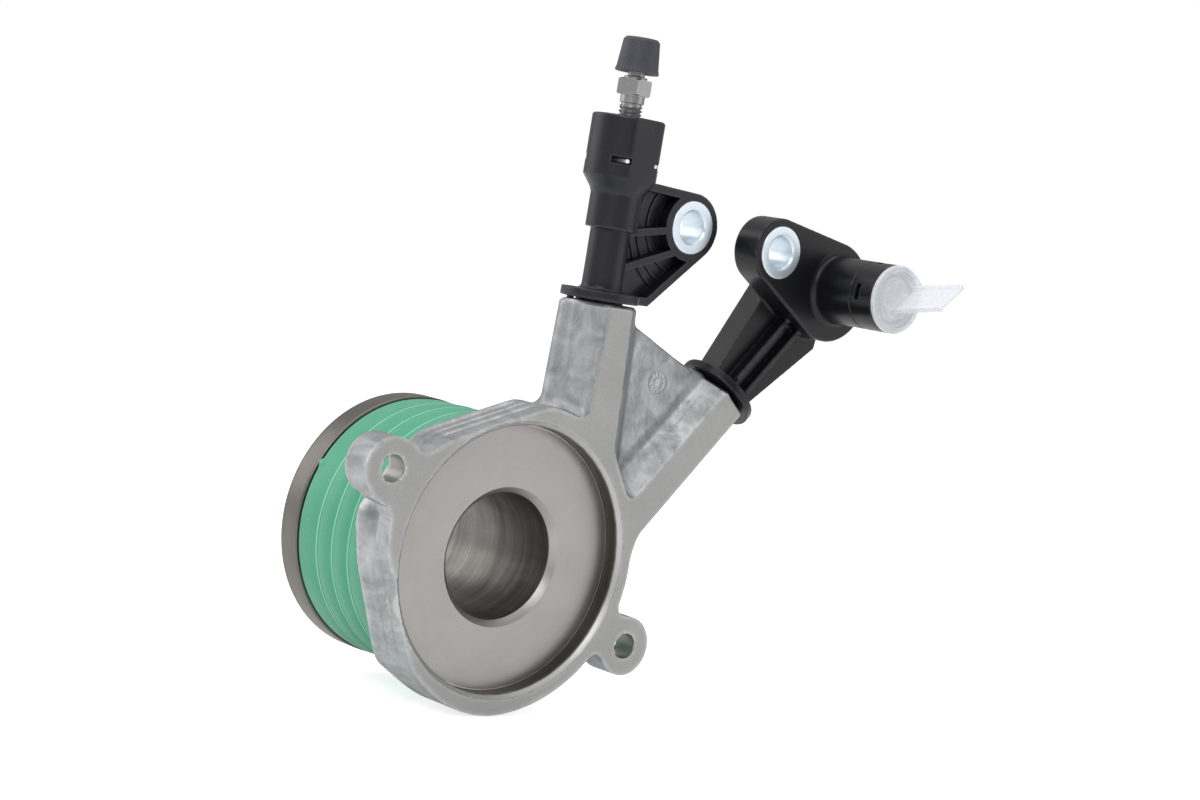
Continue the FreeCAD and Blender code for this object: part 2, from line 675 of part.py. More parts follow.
# Annular piston with its lip seal; both slide in the chamber and on the sleeve.
bore_fit = "(chamber_radius - slide_fit)"
sleeve_fit = "(sleeve_radius + slide_fit)"
lip = "(chamber_radius - sleeve_radius) / 5"
seal_back = "(seal_front + seal_length)"
piston_seal = turned_part("piston_seal", [
    (sleeve_fit, "seal_front"), (sleeve_fit + " + " + lip, "seal_front"),
    (sleeve_fit + " + 1.7 * " + lip, "seal_front + seal_lip"),
    (bore_fit + " - 1.7 * " + lip, "seal_front + seal_lip"),
    (bore_fit + " - " + lip, "seal_front"), (bore_fit, "seal_front"),
    (bore_fit, seal_back), (sleeve_fit, seal_back)])
skirt_end = "(%s + piston_skirt)" % seal_back
piston_neck = "(%s - piston_step)" % bore_fit
piston = turned_part("piston", [
    (sleeve_fit, seal_back), (bore_fit, seal_back), (bore_fit, skirt_end),
    (piston_neck, skirt_end + " + piston_step"), (piston_neck, "carrier_front + carrier_pocket"),
    (sleeve_fit, "carrier_front + carrier_pocket")])

# Bearing carrier: takes the piston, the spring, the boot's rear bead and the bearing.
bearing_front = "(carrier_back + bearing_front_gap)"
bead_start = "(carrier_front + carrier_rim)"
bearing_carrier = turned_part("bearing_carrier", [
    (piston_neck + " + fit_gap", "carrier_front"),
    ("carrier_radius", "carrier_front"), ("carrier_radius", bead_start),
    ("carrier_radius - boot_groove_depth", bead_start),
    ("carrier_radius - boot_groove_depth", bead_start + " + boot_groove_width"),
    ("carrier_radius", bead_start + " + boot_groove_width"),
    ("carrier_radius", "carrier_back"), ("spigot_outer_radius", "carrier_back"),
    ("spigot_outer_radius", "ring_back"),
    ("spigot_outer_radius - clip_height / 2", "ring_back"),
    ("spigot_outer_radius - clip_height / 2", "ring_back + clip_thickness + fit_gap"),
    ("spigot_outer_radius", "ring_back + clip_thickness + fit_gap"),
    ("spigot_outer_radius", "stop_ring_place - spigot_gap - 0.5"),
    ("spigot_outer_radius - 0.5", "stop_ring_place - spigot_gap"),
    ("spigot_inner_radius", "stop_ring_place - spigot_gap"),
    ("spigot_inner_radius", "carrier_front + carrier_pocket"),
    (piston_neck + " + fit_gap", "carrier_front + carrier_pocket")])

# Preload spring between the boot collar and the carrier.
spring_length = "(carrier_front - spring_start)"
# Each turn of the coil is swept in short straight runs with mitred joints.
coil_height = number(spring_length + " - 2 * spring_wire_radius - 2 * fit_gap")
coil_pitch = coil_height / number("spring_turns")
runs = int(number("spring_turns * spring_runs_per_turn"))
coil_points = []
for i in range(runs + 1):
    turn = 2 * math.pi * i / number("spring_runs_per_turn")
    coil_points.append(Vector(number("spring_radius") * math.sin(turn),
                              coil_pitch * i / number("spring_runs_per_turn"),
                              number("spring_radius") * math.cos(turn)))
coil_start = (coil_points[1] - coil_points[0]).normalize()
coil = Part.BRepOffsetAPI.MakePipeShell(Part.makePolygon(coil_points))
coil.setTransitionMode(1)
coil.add(Part.Wire(Part.makeCircle(number("spring_wire_radius"), coil_points[0], coil_start)))
coil.build()
coil.makeSolid()
preload_spring = doc.addObject("Part::Feature", "preload_spring")
preload_spring.Shape = coil.shape()
seat(preload_spring, "0", "spring_start + spring_wire_radius + fit_gap", "0")

# Dust boot: crowned bands between raised seams, a bead at each end.
boot_start = "(flange_depth + spigot_gap)"
boot_end = "carrier_back"
boot_inner = "(boot_radius - boot_wall)"
band = "((%s - %s) / boot_bands)" % (boot_end, boot_start)
boot_corners = []
bands = int(number("boot_bands"))
for i in range(bands):
    foot = "(%s + %d * %s)" % (boot_start, i, band)
    seam = "boot_radius" if i == 0 else "boot_radius + boot_ridge"
    boot_corners.append((seam, foot))
    if i:
        boot_corners.append(("boot_radius", "%s + boot_ridge" % foot))
    for share, rise in ((0.22, 0.7), (0.5, 1.0), (0.78, 0.7)):
        boot_corners.append(("boot_radius + boot_crown * %g" % rise,
                             "%s + %s * %g" % (foot, band, share)))
    if i < bands - 1:
        boot_corners.append(("boot_radius", "%s + %s - boot_ridge" % (foot, band)))
boot_corners += [
    ("boot_radius", boot_end), ("carrier_radius + fit_gap", boot_end),
    ("carrier_radius + fit_gap", bead_start + " + boot_groove_width - fit_gap"),
    ("carrier_radius - boot_groove_depth + fit_gap",
     bead_start + " + boot_groove_width - fit_gap"),
    ("carrier_radius - boot_groove_depth + fit_gap", bead_start + " + fit_gap"),
    ("carrier_radius + fit_gap", bead_start + " + fit_gap"),
    ("carrier_radius + fit_gap", "carrier_front - spigot_gap"),
    (boot_inner, "carrier_front - 2 * boot_wall"),
    (boot_inner, "spring_start + boot_wall"),
    ("collar_radius + fit_gap", "spring_start"),
    ("collar_radius + fit_gap", boot_groove_start + " + boot_groove_width - fit_gap"),
    ("collar_radius - boot_groove_depth + fit_gap",
     boot_groove_start + " + boot_groove_width - fit_gap"),
    ("collar_radius - boot_groove_depth + fit_gap", boot_groove_start + " + fit_gap"),
    ("collar_radius + fit_gap", boot_groove_start + " + fit_gap"),
    ("collar_radius + fit_gap", boot_start)]
dust_boot = turned_part("dust_boot", boot_corners)

# Release bearing: fixed inner ring, turning outer ring with the contact nose.
ball_centre = "(carrier_back + inner_ring_depth / 2)"
inner_race = "(ball_pitch_radius - race_gap)"
outer_race = "(ball_pitch_radius + race_gap)"
race = doc.addObject("Part::Torus", "ball_track")
along_y(race)
bind(race, Radius1="ball_pitch_radius", Radius2="ball_radius + ball_clearance")
seat(race, "0", ball_centre, "0")
inner_ring_form = turned_part("bearing_inner_form", [
    ("spigot_outer_radius + fit_gap", "carrier_back"), (inner_race, "carrier_back"),
    (inner_race, "ring_back"), ("spigot_outer_radius + fit_gap", "ring_back")])
bearing_inner_ring = cut("bearing_inner_ring", inner_ring_form, [race])
ring_end = "(%s + bearing_depth)" % bearing_front
nose_end = "(%s + bearing_nose)" % ring_end
outer_ring_form = turned_part("bearing_outer_form", [
    (outer_race, bearing_front), ("bearing_radius - 0.3", bearing_front),
    ("bearing_radius", bearing_front + " + 0.3"), ("bearing_radius", ring_end + " - 0.5"),
    ("bearing_radius - 0.5", ring_end), ("bearing_radius - 3", ring_end + " + 0.5"),
    ("bearing_nose_radius + 2.4", nose_end + " - 1.6"),
    ("bearing_nose_radius + 1.6", nose_end + " - 0.4"), ("bearing_nose_radius + 0.6", nose_end),
    ("bearing_nose_radius - 0.6", nose_end), ("bearing_nose_radius - 1.6", nose_end + " - 0.4"),
    ("bearing_web_radius", nose_end + " - 1.8"),
    ("bearing_web_radius", "ring_back + inner_ring_depth / 10"),
    (outer_race, "ring_back + inner_ring_depth / 10")])
bearing_outer_ring = cut("bearing_outer_ring", outer_ring_form, [race])
bearing_shield = turned_part("bearing_shield", [
    (inner_race + " + fit_gap", "carrier_back + 0.1"),
    (outer_race + " - 0.1", "carrier_back + 0.1"),
    (outer_race + " - 0.1", "carrier_back + 0.1 + shield_thickness"),
    (inner_race + " + fit_gap", "carrier_back + 0.1 + shield_thickness")])

balls = []
pockets = []
for i in range(int(number("ball_count"))):
    turn = "(360 / ball_count * %d)" % i
    ball = doc.addObject("Part::Sphere", "ball_%d" % (i + 1))
    bind(ball, Radius="ball_radius")
    seat(ball, "ball_pitch_radius * sin(%s)" % turn, ball_centre,
         "ball_pitch_radius * cos(%s)" % turn)
    balls.append(ball)
    pocket = cylinder("cage_pocket_%d" % (i + 1), "ball_radius + 2 * ball_clearance",
                      "4 * cage_wall")
    pocket.Placement = FreeCAD.Placement(Vector(), FreeCAD.Rotation(Vector(0, 1, 0), 1))
    bind(pocket, Placement__Rotation__Angle=turn + " * 1 deg")
    seat(pocket, "(ball_pitch_radius - 2 * cage_wall) * sin(%s)" % turn, ball_centre,
         "(ball_pitch_radius - 2 * cage_wall) * cos(%s)" % turn)
    pockets.append(pocket)
bearing_balls = doc.addObject("Part::Compound", "bearing_balls")
bearing_balls.Links = balls
cage_form = turned_part("cage_form", [
    ("ball_pitch_radius - cage_wall", ball_centre + " - cage_finger"),
    ("ball_pitch_radius + cage_wall", ball_centre + " - cage_finger"),
    ("ball_pitch_radius + cage_wall", ball_centre + " + ball_radius + cage_back"),
    ("ball_pitch_radius - cage_wall", ball_centre + " + ball_radius + cage_back")])
ball_cage = cut("ball_cage", cage_form, pockets)

clip_form = turned_part("bearing_clip_form", [
    ("spigot_outer_radius - clip_height / 2 + fit_gap", "ring_back"),
    ("spigot_outer_radius + clip_height / 2", "ring_back"),
    ("spigot_outer_radius + clip_height / 2", "ring_back + clip_thickness"),
    ("spigot_outer_radius - clip_height / 2 + fit_gap", "ring_back + clip_thickness")])
bearing_clip = cut("bearing_clip", clip_form, [
    ring_gap("bearing_clip_gap", "4 * clip_height", "2 * clip_height", "spigot_inner_radius",
             "ring_back - 1", "clip_thickness + 2")])


def spigot_corners(top, collar_radius, gap_end):
    """Adapter spigot with its pin and seal grooves, and the collar over the boss."""
    corners = [("0", "%s - spigot_length" % top),
               ("spigot_radius - 0.6", "%s - spigot_length" % top),
               ("spigot_radius", "%s - spigot_length + 0.6" % top)]
    groove = "spigot_radius - spigot_groove_depth"
    for drop, half in (("spigot_seal_drop", "spigot_groove_width / 2"),
                       ("pin_drop", "(pin_radius + 0.1)")):
        corners += [("spigot_radius", "%s - %s - %s" % (top, drop, half)),
                    (groove, "%s - %s - %s" % (top, drop, half)),
                    (groove, "%s - %s + %s" % (top, drop, half)),
                    ("spigot_radius", "%s - %s + %s" % (top, drop, half))]
    corners += [("spigot_radius", "%s + adapter_gap" % top),
                (collar_radius, "%s + adapter_gap" % top),
                (collar_radius, gap_end), ("stem_radius", gap_end)]
    return corners


# Bleed adapter: spigot, stem and head turned in one, with the ribbed mounting arm.
collar_top = "(bleed_boss_top + adapter_gap + adapter_collar_thickness)"
bleed_form = turned_part("bleed_adapter_form", spigot_corners(
    "bleed_boss_top", "adapter_collar_radius", collar_top) + [
    ("stem_radius", "bleed_mid_start"), ("bleed_mid_radius", "bleed_mid_start"),
    ("bleed_mid_radius", "bleed_cone_start"), ("bleed_head_radius", "bleed_head_start"),
    ("bleed_head_radius", "bleed_head_top - bleed_head_chamfer"),
    ("bleed_head_radius - bleed_head_chamfer", "bleed_head_top"),
    ("0", "bleed_head_top")], upright=True)
on_bleed(bleed_form)
arm_toe = ("bleed_lug_x + lug_plate_radius * sin(bleed_arm_slope)",
           "bleed_lug_z - lug_plate_radius * cos(bleed_arm_slope)")
arm = plate("bleed_arm", [
    ("bleed_offset", "bleed_boss_top + adapter_gap"),
    ("bleed_arm_foot", "bleed_boss_top + adapter_gap"), arm_toe,
    ("bleed_lug_x", "bleed_lug_z"), ("bleed_lug_x", "bleed_lug_z + lug_plate_radius"),
    ("bleed_offset + bleed_mid_radius / 2", "bleed_lug_z + lug_plate_radius + 1"),
    ("bleed_offset", "bleed_cone_start")], "bleed_arm_front", "lug_plate_depth")
lug_ring = cylinder("bleed_lug_ring", "lug_plate_radius", "lug_plate_depth", turned=True)
seat(lug_ring, "bleed_lug_x", "bleed_arm_front", "bleed_lug_z")
foot_shift = "((adapter_collar_thickness * cos(bleed_arm_slope) - bleed_arm_wall) / sin(bleed_arm_slope))"


def arm_pocket(name, front, depth):
    """The arm's outline less its walls, lug, stem and two ribs: what one side hollows out."""
    hollow = plate(name + "_outline", [
        ("bleed_offset", collar_top), ("bleed_arm_foot + %s" % foot_shift, collar_top),
        (arm_toe[0] + " - bleed_arm_wall * sin(bleed_arm_slope)",
         arm_toe[1] + " + bleed_arm_wall * cos(bleed_arm_slope)"),
        ("bleed_lug_x", "bleed_lug_z"),
        ("bleed_lug_x", "bleed_lug_z + lug_plate_radius - bleed_arm_wall"),
        ("bleed_offset + bleed_mid_radius / 2",
         "bleed_lug_z + lug_plate_radius + 1 - bleed_arm_wall"),
        ("bleed_offset", "bleed_cone_start - bleed_arm_wall")], front, depth)
    keep = []
    ring = cylinder(name + "_lug", "lug_plate_radius", depth, turned=True)
    seat(ring, "bleed_lug_x", front, "bleed_lug_z")
    keep.append(ring)
    for part, radius, start, end in (
            ("stem", "stem_radius", "bleed_boss_top", "bleed_mid_start"),
            ("mid", "bleed_mid_radius", "bleed_mid_start", "bleed_cone_start + 1"),
            ("head", "bleed_head_radius", "bleed_cone_start + 1", "bleed_head_top")):
        post = cylinder("%s_%s" % (name, part), radius, "%s - (%s)" % (end, start))
        on_bleed(post, z=start)
        keep.append(post)
    for rib, x, z, aim_z in (("upper_rib", "bleed_offset", "bleed_mid_start - 1.2",
                              "bleed_lug_z - 0.4"),
                             ("lower_rib", "bleed_offset", "bleed_mid_start - 10",
                              "bleed_lug_z - 5.2")):
        keep.append(plate("%s_%s" % (name, rib), [
            (x, z + " - bleed_rib_width / 2"), ("bleed_lug_x", aim_z + " - bleed_rib_width / 2"),
            ("bleed_lug_x", aim_z + " + bleed_rib_width / 2"),
            (x, z + " + bleed_rib_width / 2")], front, depth))
    return cut(name, hollow, keep)


back_depth = "(lug_plate_depth - bleed_pocket_depth - bleed_arm_floor)"
front_pocket = arm_pocket("arm_front_pocket", "bleed_arm_front", "bleed_pocket_depth")
back_pocket = arm_pocket("arm_back_pocket",
                         "bleed_arm_front + bleed_pocket_depth + bleed_arm_floor", back_depth)
insert_bore = cylinder("insert_bore", "insert_radius + fit_gap", "bleed_head_top - insert_bottom")
on_bleed(insert_bore, z="insert_bottom")
bleed_channel = cylinder("bleed_channel", "channel_radius", "insert_bottom - bleed_boss_top + spigot_length")
on_bleed(bleed_channel, z="bleed_boss_top - spigot_length")
bleed_lug_hole = cylinder("bleed_lug_hole", "bushing_radius", "lug_plate_depth", turned=True)
seat(bleed_lug_hole, "bleed_lug_x", "bleed_arm_front", "bleed_lug_z")
head_flat = box("bleed_head_flat_block", "2 * bleed_head_radius", "bleed_head_radius",
                "bleed_head_top - bleed_cone_start")
on_bleed(head_flat, x="-bleed_head_radius", y="-bleed_head_flat - bleed_head_radius",
         z="bleed_cone_start")
head_cuts = [front_pocket, back_pocket, insert_bore, bleed_channel, bleed_lug_hole, head_flat]
for side in (-1, 1):
    window = box("clip_window_%s" % ("left" if side < 0 else "right"), "clip_window",
                 "2.2 * bleed_head_radius", "2 * clip_wire_radius + 0.3")
    on_bleed(window, x="%d * (clip_leg_offset - clip_wire_radius - 0.15 + clip_window / 2)"
             " - clip_window / 2" % side,
             y="-1.1 * bleed_head_radius", z="clip_height_z - clip_wire_radius - 0.15")
    head_cuts.append(window)
peg = cylinder("bleed_peg", "peg_radius", "adapter_gap + peg_depth + adapter_collar_thickness / 2")
on_bleed(peg, x="-peg_place", y="peg_place / 6", z="bleed_boss_top - peg_depth")
bleed_solid = fuse("bleed_adapter_solid", [bleed_form, arm, lug_ring, peg])
bleed_adapter = cut("bleed_adapter", bleed_solid, head_cuts)

# Metal seat in the bleed head, the wire clip that holds it, and the bleed screw.
insert_form = turned_part("bleed_insert_form", [
    ("channel_radius", "insert_bottom"), ("insert_radius", "insert_bottom"),
    ("insert_radius", "clip_height_z - clip_wire_radius - 0.1"),
    ("clip_leg_offset - clip_wire_radius - 0.1", "clip_height_z - clip_wire_radius - 0.1"),
    ("clip_leg_offset - clip_wire_radius - 0.1", "clip_height_z + clip_wire_radius + 0.1"),
    ("insert_radius", "clip_height_z + clip_wire_radius + 0.1"),
    ("insert_radius", "insert_top - 0.4"), ("insert_radius - 0.4", "insert_top"),
    ("screw_thread_radius + fit_gap + 0.3", "insert_top"),
    ("screw_thread_radius + fit_gap", "insert_top - 0.3"),
    ("screw_thread_radius + fit_gap", "screw_tip + 1.6"),
    ("channel_radius", "screw_tip - 0.1")], upright=True)
on_bleed(insert_form)
bleed_insert = insert_form
bleed_insert.Label = "bleed_insert"

clip_legs = []
for side in (-1, 1):
    leg = cylinder("clip_leg_%s" % ("left" if side < 0 else "right"), "clip_wire_radius",
                   "clip_reach + clip_bend_place", turned=True)
    on_bleed(leg, x="%d * clip_leg_offset" % side, y="-clip_reach", z="clip_height_z")
    clip_legs.append(leg)
clip_bend = doc.addObject("Part::Torus", "clip_bend")
bind(clip_bend, Radius1="clip_leg_offset", Radius2="clip_wire_radius")
clip_bend.Angle3 = 180
on_bleed(clip_bend, y="clip_bend_place", z="clip_height_z")
bleed_clip = fuse("bleed_clip", clip_legs + [clip_bend])

screw_body = turned_part("bleed_screw_body", [
    ("0", "screw_tip"), ("0.9", "screw_tip"),
    ("screw_thread_radius", "screw_tip + 2.1"),
    ("screw_thread_radius", "screw_hex_bottom - 2.6"),
    ("screw_thread_radius + 0.15", "screw_hex_bottom - 2.4"),
    ("screw_thread_radius + 0.15", "screw_hex_bottom + screw_hex_height / 2"),
    ("screw_neck_radius", "screw_hex_top"),
    ("screw_neck_radius", "screw_top - 4.6"), ("screw_bulb_radius", "screw_top - 3.8"),
    ("screw_bulb_radius", "screw_top - 3.2"), ("screw_neck_radius - 0.3", "screw_top"),
    ("0", "screw_top")], upright=True)
on_bleed(screw_body)
screw_hex = doc.addObject("Part::Prism", "bleed_screw_hex")
screw_hex.Polygon = 6
bind(screw_hex, Circumradius="screw_hex_width / 2 / cos(30)", Height="screw_hex_height")
on_bleed(screw_hex, z="screw_hex_bottom")
screw_solid = fuse("bleed_screw_solid", [screw_body, screw_hex])
screw_bore = cylinder("bleed_screw_bore", "screw_neck_radius / 2.4", "screw_top - screw_tip - 4")
on_bleed(screw_bore, z="screw_tip + 4")
screw_cross = cylinder("bleed_screw_cross_hole", "screw_neck_radius / 2.8",
                       "2 * screw_thread_radius + 1", turned=True)
on_bleed(screw_cross, y="-screw_thread_radius - 0.5", z="screw_tip + 5")
bleed_screw = cut("bleed_screw", screw_solid, [screw_bore, screw_cross])

bleed_cap = turned_part("bleed_cap", [
    ("screw_bulb_radius + 2 * fit_gap", "cap_bottom"), ("cap_bottom_radius", "cap_bottom"),
    ("cap_bottom_radius", "cap_bottom + 0.8"),
    ("cap_top_radius", "cap_top - 1.1"), ("cap_top_radius - 0.35", "cap_top - 0.3"),
    ("cap_top_radius - 1.2", "cap_top"), ("0", "cap_top"),
    ("0", "screw_top + 0.3"), ("screw_bulb_radius + 2 * fit_gap", "screw_top + 0.3")],
    upright=True)
on_bleed(bleed_cap)

# Inlet adapter: elbow from the port boss to the line connector, with its mounting plate.
inlet_collar_top = "(inlet_boss_top + adapter_gap + adapter_collar_thickness)"
inlet_form = turned_part("inlet_adapter_form", spigot_corners(
    "inlet_boss_top", "inlet_collar_radius", inlet_collar_top) + [
    ("stem_radius", "inlet_elbow + stem_radius"), ("0", "inlet_elbow + stem_radius")],
    upright=True)
on_inlet(inlet_form)
fan = plate("inlet_fan", [
    inlet_spot("inlet_offset - fan_root_width / 2", inlet_collar_top),
    inlet_spot("inlet_offset + fan_root_width / 2", inlet_collar_top),
    inlet_spot("inlet_offset + fan_tip_width / 2", "fan_tip"),
    inlet_spot("inlet_offset", "inlet_elbow + stem_radius"),
    inlet_spot("inlet_offset - fan_tip_width / 2", "fan_tip")],
    "port_depth - fan_thickness / 2", "fan_thickness")
fan_ribs = []
for side in (-1, 1):
    fan_ribs.append(plate("inlet_fan_rib_%s" % ("left" if side < 0 else "right"), [
        inlet_spot("inlet_offset + %d * fan_rib_spacing / 2 - fan_rib_width / 2" % side,
                   inlet_collar_top),
        inlet_spot("inlet_offset + %d * fan_rib_spacing / 2 + fan_rib_width / 2" % side,
                   inlet_collar_top),
        inlet_spot("inlet_offset + %d * fan_rib_spacing / 2 + fan_rib_width / 2" % side,
                   "inlet_elbow"),
        inlet_spot("inlet_offset + %d * fan_rib_spacing / 2 - fan_rib_width / 2" % side,
                   "inlet_elbow")],
        "port_depth - fan_thickness / 2 - fan_rib_height", "fan_thickness"))
plate_lug = cylinder("inlet_plate_lug", "lug_plate_radius", "lug_plate_depth", turned=True)
seat(plate_lug, "inlet_lug_x", "inlet_plate_front", "inlet_lug_z")
plate_disc = cylinder("inlet_plate_disc", "inlet_plate_radius", "lug_plate_depth", turned=True)
seat(plate_disc, "elbow_x", "inlet_plate_front", "elbow_z")
span_x = "(elbow_x - inlet_lug_x)"
span_z = "(elbow_z - inlet_lug_z)"
span = "sqrt(%s^2 + %s^2)" % (span_x, span_z)
slant = "(atan2(%s; %s))" % (span_z, span_x)
spread = "acos((lug_plate_radius - inlet_plate_radius) / %s)" % span
plate_corners = []
for sign in ("+", "-"):
    for x, z, radius in (("inlet_lug_x", "inlet_lug_z", "lug_plate_radius"),
                         ("elbow_x", "elbow_z", "inlet_plate_radius")):
        plate_corners.append(("%s + %s * cos(%s %s %s)" % (x, radius, slant, sign, spread),
                              "%s + %s * sin(%s %s %s)" % (z, radius, slant, sign, spread)))
plate_corners = [plate_corners[0], plate_corners[1], plate_corners[3], plate_corners[2]]
plate_bridge = plate("inlet_plate_bridge", plate_corners, "inlet_plate_front", "lug_plate_depth")
tube = cylinder("inlet_tube", "tube_radius", "inlet_plate_front - tube_end + 1", turned=True)
seat(tube, "elbow_x", "tube_end", "elbow_z")
flare = cone("inlet_tube_flare", "tube_radius", "tube_radius + tube_base_flare",
             "tube_base_flare", turned=True)
seat(flare, "elbow_x", "inlet_plate_front - tube_base_flare", "elbow_z")
inlet_solid = fuse("inlet_adapter_solid", [inlet_form, fan, plate_lug, plate_disc, plate_bridge,
                                           tube, flare] + fan_ribs)
socket = cylinder("inlet_socket", "socket_radius", "socket_depth", turned=True)
seat(socket, "elbow_x", "tube_end", "elbow_z")
socket_lead = cone("inlet_socket_lead", "socket_radius + 0.8", "socket_radius", "0.8", turned=True)
seat(socket_lead, "elbow_x", "tube_end", "elbow_z")
seal_place = "(tube_end + socket_depth - 2.5 * socket_seal_radius)"
seal_groove = cylinder("inlet_seal_groove", "socket_radius + socket_seal_radius",
                       "2.2 * socket_seal_radius", turned=True)
seat(seal_groove, "elbow_x", seal_place + " - 1.1 * socket_seal_radius", "elbow_z")
cross_channel = cylinder("inlet_cross_channel", "channel_radius",
                         "port_depth - tube_end - socket_depth", turned=True)
seat(cross_channel, "elbow_x", "tube_end + socket_depth", "elbow_z")
long_channel = cylinder("inlet_channel", "channel_radius",
                        "inlet_elbow - inlet_boss_top + spigot_length")
on_inlet(long_channel, z="inlet_boss_top - spigot_length")
inlet_lug_hole = cylinder("inlet_lug_hole", "bushing_radius", "lug_plate_depth", turned=True)
seat(inlet_lug_hole, "inlet_lug_x", "inlet_plate_front", "inlet_lug_z")
windows = []
for side in (-1, 1):
    window = box("tube_window_%s" % ("left" if side < 0 else "right"), "2.4 * tube_radius",
                 "tube_window_width", "tube_window_height")
    window.Placement = FreeCAD.Placement(Vector(), FreeCAD.Rotation(Vector(0, 1, 0), 135))
    shift = "(%d * tube_window_offset - tube_window_height / 2)" % side
    seat(window,
         "%s - 1.2 * tube_radius * cos(135) + %s * sin(135)" % ("elbow_x", shift),
         "tube_end + tube_window_place - tube_window_width / 2",
         "%s + 1.2 * tube_radius * sin(135) + %s * cos(135)" % ("elbow_z", shift))
    windows.append(window)
inlet_adapter = cut("inlet_adapter", inlet_solid, [
    socket, socket_lead, seal_groove, cross_channel, long_channel, inlet_lug_hole] + windows)


def bushing(name, x, front, z):
    """Steel bushing pressed into a lug, a little proud on both faces."""
    ring = cylinder(name + "_outer", "bushing_radius", "lug_plate_depth + 2 * bushing_proud",
                    turned=True)
    seat(ring, x, front + " - bushing_proud", z)
    hole = cylinder(name + "_hole", "bushing_hole_radius", "lug_plate_depth + 2 * bushing_proud",
                    turned=True)
    seat(hole, x, front + " - bushing_proud", z)
    leads = []
    for end, wide_first in (("front", True), ("back", False)):
        sizes = ("bushing_hole_radius + 0.5", "bushing_hole_radius")
        lead = cone("%s_%s_lead" % (name, end), *(sizes if wide_first else sizes[::-1]), "0.5",
                    turned=True)
        place = "- bushing_proud" if wide_first else "+ lug_plate_depth + bushing_proud - 0.5"
        seat(lead, x, "%s %s" % (front, place), z)
        leads.append(lead)
    return cut(name, ring, [hole] + leads)


bleed_bushing = bushing("bleed_bushing", "bleed_lug_x", "bleed_arm_front", "bleed_lug_z")
inlet_bushing = bushing("inlet_bushing", "inlet_lug_x", "inlet_plate_front", "inlet_lug_z")

# Seals and pins that both adapters share.
seal_section = "((port_bore_radius - spigot_radius + spigot_groove_depth) / 2 - 0.02)"
seals = []
pins = []
for port, place, top in (("bleed", on_bleed, "bleed_boss_top"), ("inlet", on_inlet, "inlet_boss_top")):
    seal = doc.addObject("Part::Torus", port + "_spigot_seal")
    bind(seal, Radius1="port_bore_radius - 0.02 - " + seal_section, Radius2=seal_section)
    place(seal, z="%s - spigot_seal_drop" % top)
    seals.append(seal)
    pin = cylinder(port + "_pin", "pin_radius - 0.02", "pin_length", turned=True)
    holder = doc.addObject("Part::Compound", port + "_pin_place")
    holder.Links = [pin]
    place(holder, x="-spigot_radius", y="port_depth * 0.64 - pin_length", z="%s - pin_drop" % top)
    pins.append(holder)
spigot_seals = doc.addObject("Part::Compound", "spigot_seals")
spigot_seals.Links = seals
adapter_pins = doc.addObject("Part::Compound", "adapter_pins")
adapter_pins.Links = pins

socket_seal = doc.addObject("Part::Torus", "socket_seal")
along_y(socket_seal)
bind(socket_seal, Radius1="socket_radius + socket_seal_radius / 2 - 0.5",
     Radius2="socket_seal_radius - 0.02")
seat(socket_seal, "elbow_x", seal_place, "elbow_z")

# Transit plug: thin disc and skirt with a pull blade.
plug_disc = cylinder("plug_disc", "plug_disc_radius", "plug_disc_thickness", turned=True)
seat(plug_disc, "elbow_x", "tube_end - plug_disc_thickness - fit_gap", "elbow_z")
plug_skirt = cylinder("plug_skirt", "socket_radius - 2 * fit_gap", "plug_stem_length + fit_gap",
                      turned=True)
seat(plug_skirt, "elbow_x", "tube_end - fit_gap", "elbow_z")
plug_hollow = cylinder("plug_hollow", "socket_radius - plug_wall", "plug_stem_length + 2 * plug_wall",
                       turned=True)
seat(plug_hollow, "elbow_x", "tube_end - fit_gap - plug_disc_thickness / 4", "elbow_z")
plug_dish = cylinder("plug_dish", "socket_radius - 2 * plug_wall", "plug_dish_depth",
                     turned=True)
seat(plug_dish, "elbow_x", "tube_end - plug_disc_thickness - fit_gap", "elbow_z")
blade = doc.addObject("PartDesign::Body", "plug_blade")
blade_sketch = outline(blade, "YZ_Plane", [
    ("0", "-plug_blade_height / 2"), ("-plug_blade_length * 0.8", "-plug_blade_height / 2"),
    ("-plug_blade_length", "plug_blade_height / 2"), ("0", "plug_blade_height / 2")])
blade_pad = blade.newObject("PartDesign::Pad", "plug_blade_pad")
blade_pad.Profile = blade_sketch
bind(blade_pad, Length="plug_blade_thickness")
blade.Tip = blade_pad
seat(blade, "elbow_x - plug_blade_thickness / 2", "tube_end - fit_gap - plug_disc_thickness / 4",
     "elbow_z")
plug_shell = cut("plug_shell", fuse("plug_solid", [plug_disc, plug_skirt]), [plug_hollow, plug_dish])
transit_plug = fuse("transit_plug", [plug_shell, blade])

NODES = {
    "housing": housing, "guide_sleeve": guide_sleeve, "sleeve_gasket": sleeve_gasket,
    "stop_ring": stop_ring, "piston_seal": piston_seal, "piston": piston,
    "bearing_carrier": bearing_carrier, "preload_spring": preload_spring,
    "dust_boot": dust_boot, "bearing_inner_ring": bearing_inner_ring,
    "bearing_outer_ring": bearing_outer_ring, "bearing_shield": bearing_shield,
    "bearing_balls": bearing_balls, "ball_cage": ball_cage, "bearing_clip": bearing_clip,
    "bleed_adapter": bleed_adapter, "bleed_insert": bleed_insert, "bleed_clip": bleed_clip,
    "bleed_screw": bleed_screw, "bleed_cap": bleed_cap, "bleed_bushing": bleed_bushing,
    "inlet_adapter": inlet_adapter, "inlet_bushing": inlet_bushing,
    "socket_seal": socket_seal, "transit_plug": transit_plug, "spigot_seals": spigot_seals,
    "adapter_pins": adapter_pins,
}
doc.recompute()
for obj in doc.Objects:
    if "Invalid" in obj.State or "Error" in obj.State:
        raise ValueError("%s: %s" % (obj.Name, obj.getStatusString()))
